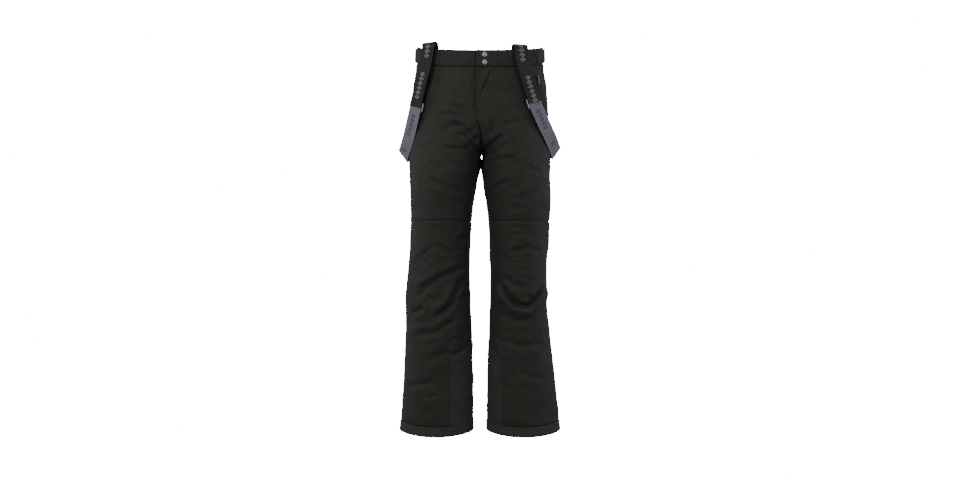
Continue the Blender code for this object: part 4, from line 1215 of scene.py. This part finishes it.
def make_brace_back():
    """The patch that joins both braces, the strap up from it, and its tab on the waistband."""
    outline_points = ((-0.036, -0.030), (0.036, -0.030), (0.036, 0.004), (0.0225, 0.034),
                      (-0.0225, 0.034), (-0.036, 0.004))
    placed = Matrix.Translation((0.0, 0.1665, -0.205))
    sewn_slab("brace_patch", outline_points, 0.0024, placed, ((0, 2), (1, 5)))
    heights = (-0.1785, -0.150, -0.110, -0.070, -0.045, -0.012)
    clear = (None, 0.0110, 0.0080, 0.0060, 0.0050, 0.0042)
    stations = []
    for height, gap in zip(heights, clear):
        y = 0.1635 if gap is None else float(outline(height, BACK)) + gap
        stations.append((Vector((0.0, y, height)), Vector((1.0, 0.0, 0.0))))
    strap = ribbon("brace_back_strap_cloth", smooth_route(stations), WEBBING_WIDTH, ELASTIC,
                   ("brace_black", "brace_black"))
    rides(strap, "root", "webbing", "brace_back_strap")
    above, below = stations[-1][0], stations[-2][0]
    up = (above - below).normalized()
    outward = up.cross(Vector((1.0, 0.0, 0.0)))
    turned = Matrix((Vector((1.0, 0.0, 0.0)), outward, up)).transposed().to_4x4()
    centre = below.lerp(above, 0.62) + outward * (ELASTIC / 2 + 0.0013)
    corners = ((-0.024, -0.014), (0.024, -0.014), (0.024, 0.014), (-0.024, 0.014))
    sewn_slab("brace_back_tab", corners, 0.0020, Matrix.Translation(centre) @ turned, ((0, 2), (1, 3)))


def sewn_slab(node, points, thickness, placed, crossings):
    """A patch with a sewn border, and a cross between the corners that crossings names."""
    slab = padded_slab(f"{node}_cloth", points, thickness)
    slab.matrix_world = placed
    rides(slab, "root", "reinforcement", node)
    inside = [placed @ Vector((x * 0.88, thickness / 2, z * 0.84)) for x, z in points]
    runs = [*zip(inside, inside[1:] + inside[:1]), *((inside[a], inside[b]) for a, b in crossings)]
    normal = placed.to_3x3() @ Vector((0.0, 1.0, 0.0))
    lines = [(np.linspace(start, end, 12), np.tile(normal, (12, 1))) for start, end in runs]
    rides(stitches(f"{node}_stitch", lines, "tape"), "root", "reinforcement")


def padded_slab(name, points, thickness):
    """A flat cloth patch of any outline in x and z."""
    mesh = bmesh.new()
    rim = [mesh.verts.new((x, 0.0, z)) for x, z in points]
    mesh.faces.new(rim)
    bmesh.ops.triangulate(mesh, faces=mesh.faces)
    bmesh.ops.subdivide_edges(mesh, edges=mesh.edges, cuts=7, use_grid_fill=True)
    bmesh.ops.solidify(mesh, geom=mesh.faces, thickness=thickness)
    bmesh.ops.recalc_face_normals(mesh, faces=mesh.faces)
    middle = sum(vertex.co.y for vertex in mesh.verts) / len(mesh.verts)
    bmesh.ops.translate(mesh, verts=mesh.verts, vec=(0.0, -middle, 0.0))
    data = bpy.data.meshes.new(name)
    mesh.to_mesh(data)
    mesh.free()
    layer = data.uv_layers.new(name="cloth")
    for loop in data.loops:
        x, _, z = data.vertices[loop.vertex_index].co
        layer.data[loop.index].uv = (x, z)
    data.materials.append(MATERIALS["coarse"])
    data.shade_smooth()
    data.set_sharp_from_angle(angle=math.radians(40))
    made = add_object(name, data)
    modifier = made.modifiers.new("edge", "BEVEL")
    modifier.width, modifier.segments = 0.0006, 3
    return made


# ---- Pockets, snaps and loop ------------------------------------------------------------------------
WELT_HALF_WIDTH = 0.0065
WELT_FACE = 0.0034         # the welt's outer face, in front of the wall
TOOTH_PITCH = 0.0013
TOOTH_HALF = 0.00042
TOOTH = ((-0.0003, 0.0), (0.0016, 0.0), (0.0013, 0.0007), (-0.0001, 0.0009))    # sideways and rise


def make_pocket(side, sign):
    """A welt with two rolled lips, and the zip's coil in the valley between them."""
    shares = np.linspace(0.0, 1.0, 64)[:, None]
    across = np.linspace(-WELT_HALF_WIDTH, WELT_HALF_WIDTH, 27)[None, :]
    xs = POCKET_TOP[0] + (POCKET_LOW[0] - POCKET_TOP[0]) * shares + across
    heights = POCKET_TOP[1] + (POCKET_LOW[1] - POCKET_TOP[1]) * shares
    points = front_point(xs, heights, -WELT_FACE) * np.array((sign, 1.0, 1.0))
    normals = grid_normals(points, sign)
    lips = 0.0010 * np.exp(-((np.abs(across) - 0.0036) / 0.0014) ** 2)
    valley = 0.0012 * np.exp(-(across / 0.0014) ** 2)
    edges = 0.0008 * smooth((np.abs(across) - 0.0055) / 0.001)
    outer = points + normals * (lips - valley - edges)[..., None]
    welt = sheet_object(f"pocket_welt_{side}_cloth", outer, normals, 0.0012, "shell")
    rides(welt, "root", "reinforcement", f"pocket_welt_{side}")
    middle = across.shape[1] // 2
    make_coil(f"pocket_coil_{side}", outer[:, middle], normals[:, middle])


def make_coil(name, line, outward):
    """Teeth of a coil zip along a line, turned to each side in turn."""
    reach = cumulative(line[None], 1)[0]
    ahead = (line[-1] - line[0]) / np.linalg.norm(line[-1] - line[0])
    vertices, faces = [], []
    for number, at in enumerate(np.arange(0.004, reach[-1] - 0.003, TOOTH_PITCH)):
        centre, normal = sample(at, reach, line), sample(at, reach, outward)
        beside = np.cross(normal, ahead) * (1.0 if number % 2 else -1.0)
        base = len(vertices)
        for along in (-TOOTH_HALF, TOOTH_HALF):
            for sideways, rise in TOOTH:
                vertices.append(centre + ahead * along + beside * sideways + normal * rise)
        faces += [[base + k for k in (0, 1, 2, 3)], [base + k for k in (7, 6, 5, 4)]]
        for k in range(4):
            after = (k + 1) % 4
            faces.append([base + k, base + k + 4, base + after + 4, base + after])
    coil = new_object(name, vertices, faces, np.asarray(vertices)[:, :2], ("zip_plastic",))
    face_out(coil)
    rides(coil, "root", "zip")


def make_pocket_bag(side, sign):
    """The bag behind the pocket's opening, a little fuller in its middle."""
    heights = spaced(-0.070, -0.225, 0.0040)[:, None]
    turns = np.linspace(2 / 24, 6 / 24, 40)[None, :]
    points = wall_points(heights, turns, sign, WALL + 0.0010)
    normals = grid_normals(points, sign)
    edge = np.minimum.reduce(from_edges(points))
    depth = 0.0010 + 0.0016 * smooth(edge / 0.014)
    depth = depth + 0.0007 * value_noise(points, 42.0, 71) * smooth(edge / 0.01)
    follows = points + normals * (0.25 * relief(points, sign, side, False))[..., None]
    bag = sheet_object(f"pocket_bag_{side}_cloth", follows, normals, depth[..., None], "lining")
    rides(bag, "root", "lining", f"pocket_bag_{side}")


# Radius and rise of a snap cap from its middle, over its rolled rim, to its underside.
SNAP_RINGS = ((0.00005, 0.0013), (0.0022, 0.0012), (0.0034, 0.0008), (0.0042, 0.0009), (0.0052, 0.0012),
              (0.0062, 0.0008), (0.0068, 0.0), (0.0066, -0.0009), (0.00005, -0.0010))


def make_snaps():
    """Turned caps with a dished middle and a rolled rim."""
    up = Vector((0.0, 0.0, 1.0))
    deep, half = float(outline(-0.02, FRONT)), float(outline(-0.02, OUTER))
    for level in ("upper", "lower"):
        low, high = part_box(f"snap_cap_{level}")
        centre = (low + high) / 2
        slope = Vector((centre.x / half ** 2, centre.y / deep ** 2, 0.0)).normalized()
        beside = slope.cross(up)
        sections = []
        for step in range(32):
            angle = 2.0 * math.pi * step / 32
            spoke = beside * math.cos(angle) + up * math.sin(angle)
            sections.append([centre + spoke * radius + slope * rise for radius, rise in SNAP_RINGS])
        cap = swept_object(f"snap_cap_{level}_turned", sections, ("metal",), closed=True)
        rides(cap, "waist_flap", "metal", f"snap_cap_{level}")


def make_hanger_loop():
    """A folded tape loop, sewn inside the back of the waistband."""
    low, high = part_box("hanger_loop")
    y = (low.y + high.y) / 2
    half, top = (high.x - low.x) / 2 - 0.0026, high.z - 0.0016
    corner = 0.0045
    stations = [(-half, low.z + 0.0004), (-half, (low.z + top) / 2), (-half, top - corner)]
    stations += [(-half + corner * 0.3, top - corner * 0.3), (-half + corner, top), (0.0, top)]
    stations += [(-x, z) for x, z in reversed(stations[:-1])]
    route = smooth_route([(Vector((x, y, z)), Vector((0.0, 1.0, 0.0))) for x, z in stations], 5)
    loop = ribbon("hanger_loop_tape", route, 0.0056, 0.0018, ("tape", "tape"))
    rides(loop, "root", "webbing", "hanger_loop")


# ---- Carried-over CAD pieces ------------------------------------------------------------------------
def finish_node(node, material, bevel):
    """A CAD piece keeps its shape, with a better material and broken edges."""
    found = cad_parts[node]
    found.data.materials.clear()
    found.data.materials.append(MATERIALS[material])
    modifier = found.modifiers.new("edge", "BEVEL")
    modifier.width, modifier.segments = bevel, 3
    modifier.limit_method = "ANGLE"
    modifier.angle_limit = math.radians(35)


HARDWARE = (               # node, material and how far its edges are broken
    ("brace_anchor_left", "zip_plastic", 0.0005), ("brace_anchor_right", "zip_plastic", 0.0005),
    ("pocket_slider_left", "dark_metal", 0.0004), ("pocket_slider_right", "dark_metal", 0.0004),
    ("pocket_pull_left", "dark_metal", 0.0003), ("pocket_pull_right", "dark_metal", 0.0003),
    ("fly_zip_tape_left", "tape", 0.0003), ("fly_zip_tape_right", "tape", 0.0003),
    ("snap_stud_upper", "metal", 0.0004), ("snap_stud_lower", "metal", 0.0004),
    ("fly_zip_slider", "metal", 0.0003), ("fly_zip_pull", "metal", 0.0002),
    ("fly_shield", "lining", 0.0003),
)


# ---- Stitching --------------------------------------------------------------------------------------
FLY_STITCH = ((0.0310, -0.0730), (0.0285, -0.0850), (0.0225, -0.1020), (0.0150, -0.1190), (0.0070, -0.1370),
              (-0.0010, -0.1530))


def on_front(grid, line, lift=0.0002):
    """Points and normals where a line in x and z lies on a panel."""
    rows, columns = grid.points.shape[:2]
    index = np.arange(rows * columns).reshape(rows, columns)
    faces = np.stack((index[:-1, :-1], index[:-1, 1:], index[1:, 1:], index[1:, :-1]), -1).reshape(-1, 4)
    tree = BVHTree.FromPolygons(grid.points.reshape(-1, 3).tolist(), faces.tolist())
    stations = [(Vector((x, 0.0, z)), Vector((1.0, 0.0, 0.0))) for x, z in line]
    points, normals = [], []
    for place, _ in smooth_route(stations, 6):
        hit, normal, _, _ = tree.ray_cast(Vector((place.x, -1.0, place.z)), Vector((0.0, 1.0, 0.0)))
        if hit is None:
            continue
        normal = normal if normal.y < 0 else -normal
        points.append(hit + normal * lift)
        normals.append(normal)
    return np.array(points), np.array(normals)


def make_stitching(legs, bands, hems, guards):
    """The rows of stitches that hold the panels, bands, hems, guards and fly."""
    for side, sign in SIDES:
        upper, lower, back = legs["front_upper", side], legs["front_lower", side], legs["back", side]
        rows = [lower.along_row(KNEE_SEAM - d, 0.0002) for d in (0.0030, 0.0095)]
        bends_at_knee(stitches(f"knee_stitch_{side}", rows), side, sign, "shell")
        rows = [upper.along_row(-WAISTBAND_HEIGHT - 0.0030, 0.0002)]
        rides(stitches(f"waist_stitch_{side}", rows), "root", "shell")
        rows = [hems[side].along_row(HEM_SEAM - 0.0025, 0.0002), hems[side].along_row(HEM + 0.006, 0.0002)]
        rides(stitches(f"hem_stitch_{side}", rows), f"shin_{side}", "reinforcement")
        guard = guards[side]
        lines = []
        for index in (3, -4):
            lines.append((guard.points[3:, index], guard.normals[3:, index]))
        lines.append((guard.points[4, 3:-3], guard.normals[4, 3:-3]))
        rides(stitches(f"guard_stitch_{side}", lines), f"shin_{side}", "reinforcement")
        lines = [back.along_column(0.0035, from_end=True)]
        bends_at_knee(stitches(f"outseam_stitch_{side}", lines), side, sign, "shell")
    fly = legs["front_upper", "left"]
    lines = [on_front(fly, FLY_STITCH), on_front(fly, [(x - 0.0045, z + 0.002) for x, z in FLY_STITCH])]
    lines.append(fly.along_column(0.0022, from_end=True, top=-0.05, bottom=-0.22))
    rides(stitches("fly_stitch", lines), "root", "shell")
    for name, body in (("left", "root"), ("tab", "waist_flap"), ("right", "root"), ("back", "root")):
        rows = [bands[name].along_row(h, 0.0002) for h in (-0.0030, 0.0030 - WAISTBAND_HEIGHT)]
        rides(stitches(f"band_stitch_{name}", rows), body, "shell")


MATERIALS = make_materials()
make_camera()
make_lights()
make_floor()
leg_grids = make_legs()
hem_grids, guard_grids = {}, {}
for side_name, side_sign in SIDES:
    hem_grids[side_name] = make_hem(side_name, side_sign)
    guard_grids[side_name] = make_guard(side_name, side_sign)
    make_gaiter(side_name, side_sign)
    make_gaiter_elastic(side_name, side_sign)
    make_adjuster_pad(side_name, side_sign)
    make_adjuster(side_name, side_sign)
    make_pocket(side_name, side_sign)
    make_pocket_bag(side_name, side_sign)
band_grids = make_waistband()
make_snaps()
make_hanger_loop()
for side_name, side_sign in SIDES:
    make_brace(side_name, side_sign)
make_brace_back()
for node_name, material_name, edge_width in HARDWARE:
    finish_node(node_name, material_name, edge_width)
make_stitching(leg_grids, band_grids, hem_grids, guard_grids)
